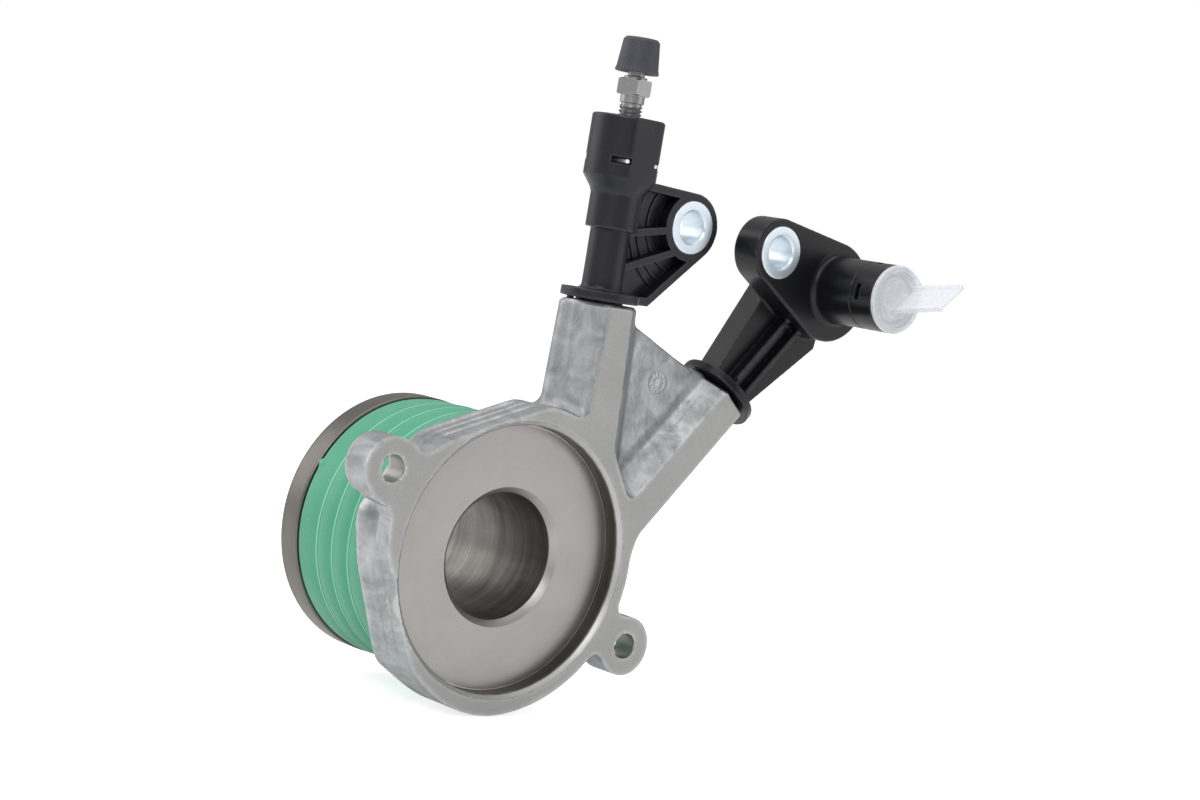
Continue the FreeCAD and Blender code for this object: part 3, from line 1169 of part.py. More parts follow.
for name, obj in NODES.items():
    obj.Label = name
    shape = obj.Shape
    if shape.isNull() or not shape.isValid() or not shape.Solids:
        raise ValueError(name + " has no valid solid")
for name, obj in NODES.items():
    obj.Shape.exportStep("parts/%s.step" % name)
    print(name, len(obj.Shape.Solids), round(obj.Shape.Volume, 1))
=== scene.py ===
import functools
import math

import bmesh
import bpy
import numpy as np
from mathutils import Matrix, Vector


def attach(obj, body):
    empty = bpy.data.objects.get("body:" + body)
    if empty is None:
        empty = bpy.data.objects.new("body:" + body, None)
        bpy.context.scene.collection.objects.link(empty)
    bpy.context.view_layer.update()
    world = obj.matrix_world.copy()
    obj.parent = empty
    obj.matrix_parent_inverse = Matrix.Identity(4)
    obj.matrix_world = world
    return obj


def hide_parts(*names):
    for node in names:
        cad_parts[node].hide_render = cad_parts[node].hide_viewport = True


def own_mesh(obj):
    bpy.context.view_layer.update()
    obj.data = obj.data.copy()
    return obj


bl_info = {
    "name": "Clutch Slave Cylinder",
    "version": (1, 0, 0),
    "blender": (4, 5, 0),
    "location": "View3D > Sidebar > Slave Cylinder",
    "description": "Dresses a concentric clutch slave cylinder: casting, bearing, boot and port adapters",
    "category": "Object",
}

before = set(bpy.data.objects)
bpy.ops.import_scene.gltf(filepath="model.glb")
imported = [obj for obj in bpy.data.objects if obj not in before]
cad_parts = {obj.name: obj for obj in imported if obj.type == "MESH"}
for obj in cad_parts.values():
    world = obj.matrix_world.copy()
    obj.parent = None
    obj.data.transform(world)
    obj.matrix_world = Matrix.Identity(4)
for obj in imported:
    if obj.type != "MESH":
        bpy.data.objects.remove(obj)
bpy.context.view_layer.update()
MM = 0.001

# Places, radii and depths in millimetres, turns in radians.
PORT_DEPTH = 9.4
BLEED_X = 21.6
BLEED_TOP = 67.3
INLET_TURN = math.radians(40.6)
INLET_ACROSS = 20.5
INLET_TOP = 78.6
CONNECTOR = (95.936, 80.429)
TUBE_END = -23.5
BLEED_LUG = (49.1, 90.4)
INLET_LUG = (72.2, 87.8)
PLATE_RADIUS = 9.1
PLATE_DEPTH = 8.9
SEAT_RADIUS = 7.07
FLANGE_RADIUS = 38.8
RECESS_RADIUS = 34.57
CHAMBER_RADIUS = 23.7
PORT_RADIUS = 6.3
LUG_HOLE = 3.35
LUG_RADIUS = 7.9
LUG_REACH = 46.8
LUG_TURNS = (math.radians(-26.6), math.radians(153.4))
FLANGE_DEPTH = 14.5
LUG_DEPTH = 9.6
BOSS_HALF = 9.75
BARREL_STEP = 31.6
BLEED_FRONT = 8.9
INLET_FRONT = -2.1
STEM_RADIUS = 5.25
PASSAGE = 1.5
CLIP_LEVEL = 104
BOOT_RADIUS = 34.25
BOOT_SEAMS = [14.8, 23.9, 30.9, 37.9, 46.4]
LUGS = [(LUG_REACH * math.cos(turn), LUG_REACH * math.sin(turn)) for turn in LUG_TURNS]
FLOOR = -0.0402  # metres
DIAGONAL = 0.7071  # cosine of 45 degrees


def length_prop(name, description, default):
    return bpy.props.FloatProperty(name=name, description=description, default=default, unit="LENGTH")


def colour_prop(name, description, default):
    return bpy.props.FloatVectorProperty(
        name=name, description=description, default=default, subtype="COLOR")


class SlaveSizes(bpy.types.PropertyGroup):
    cast_grain: length_prop("Casting grid", "Spacing of the grid that the casting is shaped on", 0.0007)
    plastic_grain: length_prop(
        "Moulding grid", "Spacing of the grid that the mouldings are shaped on", 0.0004)
    cast_fillet: length_prop("Casting fillet", "Radius where the bosses meet the flange", 0.0035)
    edge_round: length_prop("Moulded edge", "Radius of the edges of the plastic adapters", 0.0004)
    boot_crown: length_prop("Boot crown", "How far each band of the boot swells", 0.0005)
    boot_ridge: length_prop("Boot ridge", "Height of the thin ridges between the bands", 0.00022)
    dial_radius: length_prop("Dial radius", "Radius of the plain ring of ticks on the web", 0.0031)
    turned_steps: bpy.props.IntProperty(
        name="Turned steps", description="Steps round a turned piece", default=176)


class SlaveColours(bpy.types.PropertyGroup):
    cast: colour_prop("Cast skin", "Aluminium as it comes from the die", (0.44, 0.447, 0.458))
    machined: colour_prop(
        "Machined aluminium", "Milled and turned faces of the casting", (0.36, 0.358, 0.354))
    steel: colour_prop("Sleeve steel", "Turned sleeve and its disc", (0.40, 0.388, 0.375))
    bearing: colour_prop("Bearing steel", "Ground bearing ring", (0.165, 0.153, 0.138))
    rubber: colour_prop("Boot", "Green moulded boot", (0.060, 0.355, 0.207))
    plastic: colour_prop("Adapter plastic", "Black glass-filled plastic", (0.0090, 0.0092, 0.0125))
    zinc: colour_prop("Zinc plate", "Bright bluish plating", (0.70, 0.78, 0.85))
    cap: colour_prop("Cap rubber", "Dark rubber of the bleed cap", (0.055, 0.056, 0.069))
    plug: colour_prop("Plug", "Milky plastic of the transit plug", (0.88, 0.91, 0.95))


def sizes():
    return bpy.context.scene.slave_sizes


def colours():
    return bpy.context.scene.slave_colours


# Solid forms as signed distances, in millimetres: negative inside.
def clamp(value, low=0.0, high=1.0):
    return np.minimum(np.maximum(value, low), high)


def ease(value, low, high):
    """Soft step from 0 at low to 1 at high."""
    t = clamp((value - low) / (high - low))
    return t * t * (3 - 2 * t)


def disc(x, z, spot, radius):
    return np.hypot(x - spot[0], z - spot[1]) - radius


def slab(value, low, high):
    return np.maximum(low - value, value - high)


def both(*forms):
    """Intersection."""
    return functools.reduce(np.maximum, forms)


def either(*forms):
    """Union."""
    return functools.reduce(np.minimum, forms)


def swell(value, middle, width):
    """Smooth hump of height 1."""
    return np.exp(-((value - middle) / width) ** 2)


def join(a, b, radius):
    """Union with a hollow fillet."""
    return np.maximum(radius, np.minimum(a, b)) - np.hypot(
        np.maximum(radius - a, 0), np.maximum(radius - b, 0))


def meet(a, b, radius):
    """Intersection with a rounded edge."""
    return np.minimum(-radius, np.maximum(a, b)) + np.hypot(
        np.maximum(radius + a, 0), np.maximum(radius + b, 0))


def bevel(a, b, width):
    """Intersection with a flat chamfer."""
    return np.maximum(np.maximum(a, b), (a + b + width) * DIAGONAL)


def drill(form, *tools):
    return both(form, *(-tool for tool in tools))


def polygon(x, z, corners):
    """Signed distance to a closed outline."""
    nearest = np.full(np.shape(x), 1e9)
    inside = np.zeros(np.shape(x), bool)
    for i, (ax, az) in enumerate(corners):
        bx, bz = corners[i - 1]
        ex, ez = bx - ax, bz - az
        along = clamp(((x - ax) * ex + (z - az) * ez) / (ex * ex + ez * ez))
        nearest = np.minimum(nearest, np.hypot(x - ax - ex * along, z - az - ez * along))
        crosses = (az > z) != (bz > z)
        with np.errstate(divide="ignore", invalid="ignore"):
            inside ^= crosses & (x < ax + ex * (z - az) / (ez if ez else 1e-9))
    return np.where(inside, -nearest, nearest)


def segment(x, z, a, b, half):
    """Signed distance to a bar with round ends."""
    ex, ez = b[0] - a[0], b[1] - a[1]
    along = clamp(((x - a[0]) * ex + (z - a[1]) * ez) / (ex * ex + ez * ez))
    return np.hypot(x - a[0] - ex * along, z - a[1] - ez * along) - half


def two_discs(x, z, a, ra, b, rb):
    """Signed distance to the hull of two discs."""
    length = math.hypot(b[0] - a[0], b[1] - a[1])
    ux, uz = (b[0] - a[0]) / length, (b[1] - a[1]) / length
    along = (x - a[0]) * ux + (z - a[1]) * uz
    side = abs((z - a[1]) * ux - (x - a[0]) * uz)
    lean = (ra - rb) / length
    level = math.sqrt(1 - lean * lean)
    reach = level * along - lean * side
    straight = level * side + lean * along - ra
    return np.where(reach < 0, np.hypot(along, side) - ra,
                    np.where(reach > level * length, np.hypot(along - length, side) - rb, straight))


def inlet_frame(x, y, z):
    """Across the inlet port, its depth, and the distance along it."""
    c, s = math.cos(INLET_TURN), math.sin(INLET_TURN)
    return x * c - z * s - INLET_ACROSS, y - PORT_DEPTH, x * s + z * c


def bleed_frame(x, y):
    """Across the bleed port, its depth, and the distance from its axis."""
    across, deep = x - BLEED_X, y - PORT_DEPTH
    return across, deep, np.hypot(across, deep)


def housing_form(x, y, z):
    radial = np.hypot(x, z)
    way = np.mod(np.degrees(np.arctan2(z, x)), 360)
    corner = 2.2 * swell(way, 168, 8) + 1.2 * swell(way, 224, 9)
    belly = 1.1 * swell(way, 262, 24)
    turn = math.radians(19.8)
    flat = z * math.cos(turn) - x * math.sin(turn) - 36.1 - 0.03 * y
    side = -0.926 * x - 0.377 * z - 35.6 - 0.085 * y
    for place, width, depth in ((4.9, 0.9, 0.28), (8.3, 0.8, 0.22), (11.6, 1.3, 0.30)):
        groove = depth * ease(width - abs(y - place), 0, 0.6 * width)
        flat, side = flat + groove, side + groove
    shoulder = polygon(x, z, [(-8, 20), (-8, 39), (3, 40), (10, 38.8), (17, 36.4),
                              (22, 32), (22, 20)])
    rim = join(radial - FLANGE_RADIUS - belly - corner * ease(y, 3, 12), shoulder, 1.5)
    rim = meet(meet(rim, flat, 1.2), side, 1.4)
    ears = join(rim, either(*(disc(x, z, spot, LUG_RADIUS) for spot in LUGS)), 5)
    neck = polygon(x, z, [(-37, 27), (-34.2, 25.4), (-31.1, 25.7), (-25.7, 28), (-22, 25),
                          (-33, 8), (-33, -4), (-36.5, -4), (-39.1, 1), (-39.5, 5.9),
                          (-39.9, 9), (-41.4, 11.4), (-45.7, 13.6), (-41.8, 21)])
    ears = join(ears, both(neck, y - 5.5), 1.8)
    flange = meet(rim, slab(y, -1, FLANGE_DEPTH), 0.8)
    plate = meet(ears, slab(y, -1, LUG_DEPTH), 0.9)
    barrel = join(both(radial - 27.6, slab(y, 0, 31.4)),
                  both(radial - BARREL_STEP, slab(y, 0, 18.5)), 0.5)
    body = either(flange, plate, barrel)

    bx, by, _ = bleed_frame(x, y)
    wide = 11.8 + 0.036 * (BLEED_TOP - z)
    face = (abs(bx) + abs(by) - wide - 1.9) * DIAGONAL
    along_face = (by - bx) * DIAGONAL
    panel = ease(4.1 - abs(along_face - 1.2), 0, 1.5) * ease(10.5 - abs(z - 57.2), 0, 3.2)
    face = face + 0.30 * panel * (bx < 0) * (by < 0)
    eight = meet(meet(abs(bx) - wide, abs(by) - BOSS_HALF + 0.35 * (by > 0), 0.8), face, 1.3)
    bleed = both(bevel(eight, z - BLEED_TOP, 0.9), 24 - z)

    sx, sy, along = inlet_frame(x, y, z)
    strip = both(-sy - BOSS_HALF, 0.821 * (abs(sx) - 4.3) - 0.571 * (sy + 9.4), sy)
    groove = 0.12 * ease(1 - abs(np.hypot(sx + 7.2, sy + 4.6)), 0, 0.8) * ease(along, 52, 60)
    inlet = either(np.hypot(sx, sy) - 8.9, strip) + groove
    inlet = both(bevel(inlet, along - INLET_TOP, 0.9), 20 - along)

    sheet = polygon(x, z, [(BLEED_X, 63.4), (32, 63.4), (41, 59.4), (49, 55.8), (56.3, 52.9),
                           (60, 52), (40, 20), (BLEED_X, 20)])
    web = meet(sheet, slab(y, 7.4, 11.4), 0.8)
    ports = join(join(bleed, inlet, 2.4), web, 1.8)
    form = join(ports, body, sizes().cast_fillet * 1000)

    # Machining: gearbox face, recess, chamber, screw holes and port bores.
    lead = 1.24
    mouth = (radial + y - RECESS_RADIUS - lead) * DIAGONAL
    recess = either(both(radial - RECESS_RADIUS, y - 7), both(mouth, y - lead))
    gasket = both(slab(radial, 27, 30), y - 7.6)
    room = both(slab(radial, BARREL_STEP, 35.75), FLANGE_DEPTH - y)
    bead = both(slab(radial, 30.6, 33), slab(y, 15.7, 17.3))
    form = drill(both(form, -y), recess, gasket, radial - CHAMBER_RADIUS, room, bead)
    chamfer, spot_face = 0.35, 6.2
    for spot in LUGS:
        hole = disc(x, z, spot, LUG_HOLE)
        form = drill(form, hole, both(hole - chamfer + y, y - chamfer), both(hole - 2, spot_face - y))
    for across, deep, depth in ((bx, by, BLEED_TOP - z), (sx, sy, INLET_TOP - along)):
        bore = np.hypot(across, deep) - PORT_RADIUS
        pin = np.hypot(across + 6.2, depth - 9.3) - 1.25
        form = drill(form, both(bore, depth - 21.3), both(bore - 0.8 + depth, depth - 0.8),
                     both(bore + 5.05, depth - 46.3), both(pin, 5.416 - y))
    return form


def housing_finish(x, y, z):
    """1 where the casting is machined, 0 where its skin is left."""
    radial = np.hypot(x, z)
    sx, sy, along = inlet_frame(x, y, z)
    machined = (y < 0.02) | ((radial < 35.9) & (y < 7.7)) | (radial < 23.8)
    for spot in LUGS:
        machined |= disc(x, z, spot, LUG_HOLE + 0.5) < 0
    machined |= (z > BLEED_TOP - 0.02) | (along > INLET_TOP - 0.02)
    machined |= (bleed_frame(x, y)[2] < 6.4) & (z > 40)
    machined |= (np.hypot(sx, sy) < 6.4) & (along > 50)
    return machined.astype(int)


def spigot_form(radial, along, foot, top):
    """Spigot of an adapter, with its grooves for the seal and the pin."""
    spigot = both(radial - 6.2, slab(along, foot, top))
    for level, half in ((foot + 4, 1.25), (foot + 11.5, 1.35)):
        spigot = drill(spigot, both(4.85 - radial, slab(along, level - half, level + half)))
    return spigot


def bleed_adapter_form(x, y, z):
    edge = sizes().edge_round * 1000
    bx, by, radial = bleed_frame(x, y)
    spigot = spigot_form(radial, z, 46.5, 69)
    collar = meet(radial - 10.3, slab(z, 68, 70.4), edge)
    stem = both(radial - STEM_RADIUS, slab(z, 69, 90))
    middle = meet(radial - 6.75, slab(z, 86.4, 98), edge)
    head_foot = 95.9
    wide = 6.75 + 2.75 * clamp((z - head_foot) / 3.8)
    head = both(bevel((radial - wide) * 0.85, z - 115.5, 0.4), head_foot - z)
    head = meet(head, np.where(z > 96.5, -8.35 - by, -9 - by), 0.3)
    turned = either(join(spigot, collar, 0.3), join(stem, collar, 1.4),
                    join(join(middle, stem, 0.5), head, 0.8))

    lug = disc(x, z, BLEED_LUG, PLATE_RADIUS)
    toe = (BLEED_LUG[0] + PLATE_RADIUS * 0.682, BLEED_LUG[1] - PLATE_RADIUS * 0.731)
    outline = either(lug, polygon(x, z, [(BLEED_X, 68), (38.1, 68), toe, BLEED_LUG,
                                         (BLEED_LUG[0], 99.5), (25, 100.5), (BLEED_X, head_foot)]))
    arm = meet(outline, slab(y, BLEED_FRONT, BLEED_FRONT + PLATE_DEPTH), edge)
    ribs = either(segment(x, z, (26.9, 86.1), (49.1, 90), 0.95),
                  segment(x, z, (24.5, 75.9), (44, 83), 0.95))
    hollow = drill(outline + 2.2, lug, ribs)
    step = 0
    for reach in (12.9, 16.3, 18.8):
        step = step + 0.42 * ease(0.5 - abs(lug + PLATE_RADIUS - reach), 0, 0.3)
    arm = drill(arm, meet(hollow, y - 12.6 + step, 0.3), meet(hollow, 15 - y, 0.3))
    peg = both(np.hypot(bx + 8.6, by - 1.433) - 0.9, slab(z, 64.8, 68.5))
    window = both(slab(abs(bx), 3.85, 7.9), abs(by) - 10.5, abs(z - CLIP_LEVEL) - 0.8)
    mouth = both(radial - 5.2 - clamp(z - 115, 0, 0.6), 98.8 - z)
    return drill(either(join(turned, arm, 0.6), peg), mouth, radial - PASSAGE,
                 disc(x, z, BLEED_LUG, SEAT_RADIUS), window)


def inlet_adapter_form(x, y, z):
    edge = sizes().edge_round * 1000
    sx, sy, along = inlet_frame(x, y, z)
    radial = np.hypot(sx, sy)
    spigot = spigot_form(radial, along, 57.8, 80)
    collar = meet(radial - 11.3, slab(along, 79.3, 81.7), edge)
    stem = both(radial - STEM_RADIUS, slab(along, 80, 127))
    fan = meet(polygon(sx, along, [(-7, 80), (7, 80), (13, 112), (2, 128),
                                   (-2, 128), (-13, 112)]), abs(sy) - 4, edge)
    panels = polygon(abs(sx), along, [(4.6, 84), (5.4, 84), (10.6, 111), (4.6, 119)])
    fan = drill(fan, meet(panels, 1.2 - sy, 0.4))
    rib = meet(both(slab(abs(sx), 2.05, 3.35), slab(along, 81, 123.5)),
               slab(sy, -7.2, 2), 0.25)
    rib = both(rib, -sy - 7.2 + 0.9 * clamp((84.5 - along) / 3.5) * 3)
    neck = join(join(either(fan, stem), rib, 0.5), collar, 1)

    sheet = two_discs(x, z, INLET_LUG, PLATE_RADIUS, (CONNECTOR[0] - 1.6, CONNECTOR[1] - 0.9), 13.7)
    plate = meet(sheet, slab(y, INLET_FRONT, INLET_FRONT + PLATE_DEPTH), 0.7)
    centre = disc(x, z, CONNECTOR, 0)
    tube = meet(centre - 9.2, slab(y, TUBE_END, 0), 0.3)
    ring = 0.12 * ease(0.25 - abs(y + 15.6), 0, 0.15)
    form = join(join(plate, tube + ring, 1.6), neck, 0.9)
    form = join(form, either(spigot, form + 50), 0.01)
    across = (x - CONNECTOR[0] - z + CONNECTOR[1]) * DIAGONAL
    lengthwise = (x - CONNECTOR[0] + z - CONNECTOR[1]) * DIAGONAL
    window = both(slab(abs(across), 5.1, 8.1), abs(lengthwise) - 11, slab(y, -19.1, -17.5))
    socket = both(centre - 7, y + 8.5)
    lead = both(centre - 7.8 + (y - TUBE_END), y - TUBE_END - 0.8)
    seal = both(centre - 8, slab(y, -12.1, -9.9))
    bores = either(both(centre - PASSAGE, y - PORT_DEPTH), both(radial - PASSAGE, along - 123.5))
    return drill(form, socket, lead, seal, bores, disc(x, z, INLET_LUG, SEAT_RADIUS), window)


def plug_form(x, y, z):
    px, pz = x - CONNECTOR[0], z - CONNECTOR[1]
    radial = np.hypot(px, pz)
    plate = meet(radial - 9.25, slab(y, -24.75, -23.55), 0.35)
    plate = drill(plate, meet(slab(radial, 5.2, 7.6), y + 24.45, 0.1))
    skirt = both(slab(radial, 6, 6.9), slab(y, -24, -14.5))
    out = -24.2 - y
    lift = 0.155 * np.maximum(out, 0)
    long, across = (px + pz - lift) * DIAGONAL, (px - pz + lift) * DIAGONAL
    blade = polygon(out, long, [(-0.4, -4.7), (18.6, -4.5), (19.4, 4.4), (18.6, 5.6), (-0.4, 5.9)])
    thick = 0.42 + 0.35 * ease(1.2 - abs(long + 3.9), 0, 0.9) + 0.9 * (1 - ease(out, 0, 2))
    thick = thick + 0.3 * ease(1 - abs(long - 5.2), 0, 0.8)
    blade = meet(blade, abs(across - 0.6) - thick, 0.25)
    knob = np.sqrt((px - 6.2) ** 2 + (pz - 4.2) ** 2 + (y + 24) ** 2) - 2
    body = either(plate, skirt)
    return either(join(body, blade, 1.3), both(join(body, knob, 0.8), y + 23.9))


def screw_form(x, y, z):
    bx, by, radial = bleed_frame(x, y)
    tip, thread_end, nut_foot, nut_top, barb, top = 101.5, 118.3, 121.2, 125.3, 130.6, 133
    turn = np.arctan2(by, bx) / (2 * math.pi)
    phase = np.mod(z - turn, 1)
    crest = clamp(abs(phase - 0.5) * 2.4 - 0.1)
    threaded = ease(z, 104, 104.6) * (1 - ease(z, 118, thread_end))
    shank = 3.05 - 0.55 * crest * threaded
    shank = np.where(z > thread_end, 3.15 - 0.45 * ease(0.45 - abs(z - 118.75), 0, 0.2), shank)
    shank = np.minimum(shank, 0.9 + (z - tip))
    neck = np.where(z > 126, 2.2 + 0.7 * ease(1.7 - abs(z - 129.4), 0, 1.2), 3)
    neck = np.where(z > barb, 2.2 - 0.3 * clamp((z - barb) / 2.4), neck)
    core = np.where(z < 123, radial - shank, radial - neck) * 0.8
    core = both(core, slab(z, tip, top))
    flats = np.full(np.shape(radial), -1e9)
    for i in range(3):
        way = math.radians(30 + 60 * i)
        flats = both(flats, abs(bx * math.cos(way) + by * math.sin(way)) - 4)
    hexagon = both(flats, slab(z, nut_foot, nut_top))
    for gap in (nut_top - z, z - nut_foot):
        hexagon = both(hexagon, (radial - 4.1 - gap * 1.73) * 0.5)
    form = join(core, hexagon, 0.15)
    bore = both(radial - 0.9, 105.5 - z)
    cross = both(np.hypot(bx, z - 106.5) - 0.8, abs(by) - 3.5)
    return drill(form, bore, cross)


def clip_form(x, y, z):
    bx, by, _ = bleed_frame(x, y)
    half, wire, back = 4.75, 0.62, 7.2
    legs = meet(np.hypot(abs(bx) - half, z - CLIP_LEVEL) - wire, slab(by, -8, back), 0.3)
    bend = both(np.hypot(by - back, z - CLIP_LEVEL) - wire, abs(bx) - half)
    return either(legs, bend)


# From a form or an outline to a mesh.
def fetch(items, key, width, kind=float):
    """One property of all items as an array with a row for each."""
    values = np.zeros(len(items) * width, kind)
    items.foreach_get(key, values)
    return values.reshape(-1, width)


def shape_mesh(name, form, low, high, step, finish=None):
    """Mesh of a form: one corner per cell, set where the surfaces that cross the cell meet."""
    axes = [np.arange(a, b + step, step) for a, b in zip(low, high)]
    grid = np.meshgrid(*axes, indexing="ij")
    field = form(*grid)
    low = np.array([axis[0] for axis in axes])
    cells = np.array(field.shape) - 1
    hits, quads = [], []
    for axis in range(3):
        ahead = np.zeros(3, int)
        ahead[axis] = 1
        start = field[tuple(slice(n - d) for n, d in zip(field.shape, ahead))]
        end = field[tuple(slice(d, n) for n, d in zip(field.shape, ahead))]
        index = np.argwhere((start < 0) != (end < 0))
        pick = tuple(index.T)
        a, b = start[pick], end[pick]
        base = low + index * step
        lo, hi = np.zeros(len(a)), np.ones(len(a))
        for _ in range(5):
            t = clamp(lo + (hi - lo) * a / np.where(a == b, 1, a - b), lo, hi)
            value = form(*(base + t[:, None] * ahead * step).T)
            same = (value < 0) == (a < 0)
            lo, hi = np.where(same, t, lo), np.where(same, hi, t)
            a, b = np.where(same, value, a), np.where(same, b, value)
        spot = base + t[:, None] * ahead * step
        slope = np.stack([form(*(spot + d).T) - form(*(spot - d).T) for d in np.eye(3) * 0.01], 1)
        slope /= np.maximum(np.linalg.norm(slope, axis=1, keepdims=True), 1e-9)
        u, v = [k for k in range(3) if k != axis]
        around = []
        for du, dv in ((0, 0), (1, 0), (1, 1), (0, 1)):
            cell = index.copy()
            cell[:, u] -= du
            cell[:, v] -= dv
            inside = np.all((cell >= 0) & (cell < cells), axis=1)
            around.append(np.where(inside, cell @ (cells[1] * cells[2], cells[2], 1), -1))
            hits.append((around[-1][inside], spot[inside], slope[inside]))
        around = np.stack(around, 1)
        outward = (start[pick] < 0) == (axis != 1)
        around = np.where(outward[:, None], around, around[:, ::-1])
        quads.append(around[np.all(around >= 0, axis=1)])
    where, spots, slopes = (np.concatenate(rows) for rows in zip(*hits))
    used, where = np.unique(where, return_inverse=True)
    count = len(used)
    number = np.bincount(where, minlength=count)

    def cell_sum(rows):
        return np.stack([np.bincount(where, column, count) for column in rows.T], 1)

    mass = cell_sum(spots) / number[:, None]
    reach = np.einsum("ij,ij->i", slopes, spots - mass[where])
    right = cell_sum(slopes * reach[:, None])
    square = cell_sum((slopes[:, :, None] * slopes[:, None]).reshape(-1, 9)).reshape(-1, 3, 3)
    square += np.eye(3) * 0.06 * number[:, None, None]
    shift = np.linalg.solve(square, right[:, :, None])[:, :, 0]
    corner = np.stack(np.unravel_index(used, cells), 1) * step + low
    verts = clamp(mass + shift, corner - 0.05 * step, corner + 1.05 * step)
    lookup = np.full(int(np.prod(cells)), -1)
    lookup[used] = np.arange(count)
    return build_mesh(name, verts, lookup[np.concatenate(quads)], finish)


def build_mesh(name, verts, faces, finish=None):
    """Mesh from corners in millimetres; finish picks the material of each face."""
    mesh = bpy.data.meshes.new(name)
    sides = faces.shape[1]
    mesh.vertices.add(len(verts))
    mesh.vertices.foreach_set("co", (verts * MM).astype(np.float32).ravel())
    mesh.loops.add(faces.size)
    mesh.loops.foreach_set("vertex_index", faces.astype(np.int32).ravel())
    mesh.polygons.add(len(faces))
    mesh.polygons.foreach_set("loop_start", np.arange(0, faces.size, sides, dtype=np.int32))
    mesh.update(calc_edges=True)
    mesh.validate()
    if finish:
        index = finish(*(fetch(mesh.polygons, "center", 3) / MM).T)
        mesh.polygons.foreach_set("material_index", index.astype(np.int32))
    finish_mesh(mesh)
    return mesh


def finish_mesh(mesh):
    """Smooth shading with crisp edges, and a curvature value per corner: above 0 on edges, which get wear
    and painted highlight, below in creases, which get painted shade.
    """
    mesh.update()
    mesh.shade_smooth()
    mesh.set_sharp_from_angle(angle=math.radians(27))
    count = len(mesh.vertices)
    co, normal = fetch(mesh.vertices, "co", 3), fetch(mesh.vertices, "normal", 3)
    a, b = fetch(mesh.edges, "vertices", 2, int).T
    way = co[a] - co[b]
    way /= np.maximum(np.linalg.norm(way, axis=1, keepdims=True), 1e-12)
    wear_and_painted_light = np.bincount(a, np.einsum("ij,ij->i", normal[a], way), count)
    wear_and_painted_light += np.bincount(b, np.einsum("ij,ij->i", normal[b], -way), count)
    number = np.maximum(np.bincount(a, minlength=count) + np.bincount(b, minlength=count), 1)
    wear_and_painted_light = wear_and_painted_light / number
    for _ in range(2):
        spread = np.bincount(a, wear_and_painted_light[b], count) + np.bincount(b, wear_and_painted_light[a], count)
        wear_and_painted_light = 0.5 * wear_and_painted_light + 0.5 * spread / number
    # Stored for the materials: edges lighter as wear and painted highlight, creases darker as painted
    # shade.
    layer = mesh.attributes.new("wear_and_painted_light", "FLOAT", "POINT")
    layer.data.foreach_set("value", wear_and_painted_light.astype(np.float32))


def lathe_mesh(name, outline, centre=(0.0, 0.0), upright=False, steps=None):
    """Closed ring from a closed outline of (radius, place along the axis) in millimetres."""
    steps = steps or sizes().turned_steps
    rows = len(outline)
    turn = np.linspace(0, 2 * math.pi, steps, endpoint=False)
    radius, place = np.array(outline, float).T
    area = sum(outline[i - 1][0] * p - r * outline[i - 1][1] for i, (r, p) in enumerate(outline))
    r, t = np.meshgrid(np.maximum(radius, 0), turn, indexing="ij")
    verts = [centre[0] + r * np.cos(t), centre[1] + r * np.sin(t)]
    verts.insert(2 if upright else 1, np.repeat(place[:, None], steps, 1))
    i, k = np.meshgrid(np.arange(rows), np.arange(steps), indexing="ij")
    i2, k2 = (i + 1) % rows, (k + 1) % steps
    faces = np.stack([i * steps + k, i * steps + k2, i2 * steps + k2, i2 * steps + k], -1).reshape(-1, 4)
    if (area > 0) == upright:
        faces = faces[:, ::-1]
    mesh = bpy.data.meshes.new(name)
    mesh.from_pydata((np.stack(verts, -1).reshape(-1, 3) * MM).tolist(), [], faces.tolist())
    bm = bmesh.new()
    bm.from_mesh(mesh)
    bmesh.ops.remove_doubles(bm, verts=bm.verts, dist=1e-7)
    bmesh.ops.dissolve_degenerate(bm, edges=bm.edges, dist=1e-7)
    bmesh.ops.recalc_face_normals(bm, faces=bm.faces)
    bm.to_mesh(mesh)
    bm.free()
    finish_mesh(mesh)
    return mesh


def rounded(outline, radius, points=3):
    """Closed outline with its corners rounded: each is (r, p) or (r, p, radius)."""
    result = []
    for i, corner in enumerate(outline):
        here = np.array(corner[:2], float)
        size = corner[2] if len(corner) > 2 else radius
        before = np.array(outline[i - 1][:2], float) - here
        after = np.array(outline[(i + 1) % len(outline)][:2], float) - here
        la, lb = np.linalg.norm(before), np.linalg.norm(after)
        before, after = before / max(la, 1e-9), after / max(lb, 1e-9)
        cosine = float(np.clip(before @ after, -1, 1))
        half = math.acos(cosine) / 2
        if size <= 0 or half > 1.5:
            result.append(tuple(here))
            continue
        cut = min(size / math.tan(half), 0.45 * la, 0.45 * lb)
        a, b = here + before * cut, here + after * cut
        for step in range(points + 1):
            t = step / points
            result.append(tuple((1 - t) ** 2 * a + 2 * t * (1 - t) * here + t * t * b))
    return result


def add_piece(mesh, materials, body, slot, *replaced):
    """Object at the origin, named as its mesh, that rides on a body and stands for CAD nodes."""
    piece = bpy.data.objects.new(mesh.name, mesh)
    bpy.context.scene.collection.objects.link(piece)
    for material in materials[len(mesh.materials):]:
        mesh.materials.append(material)
    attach(piece, body)
    if replaced:
        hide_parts(*replaced)
    return piece


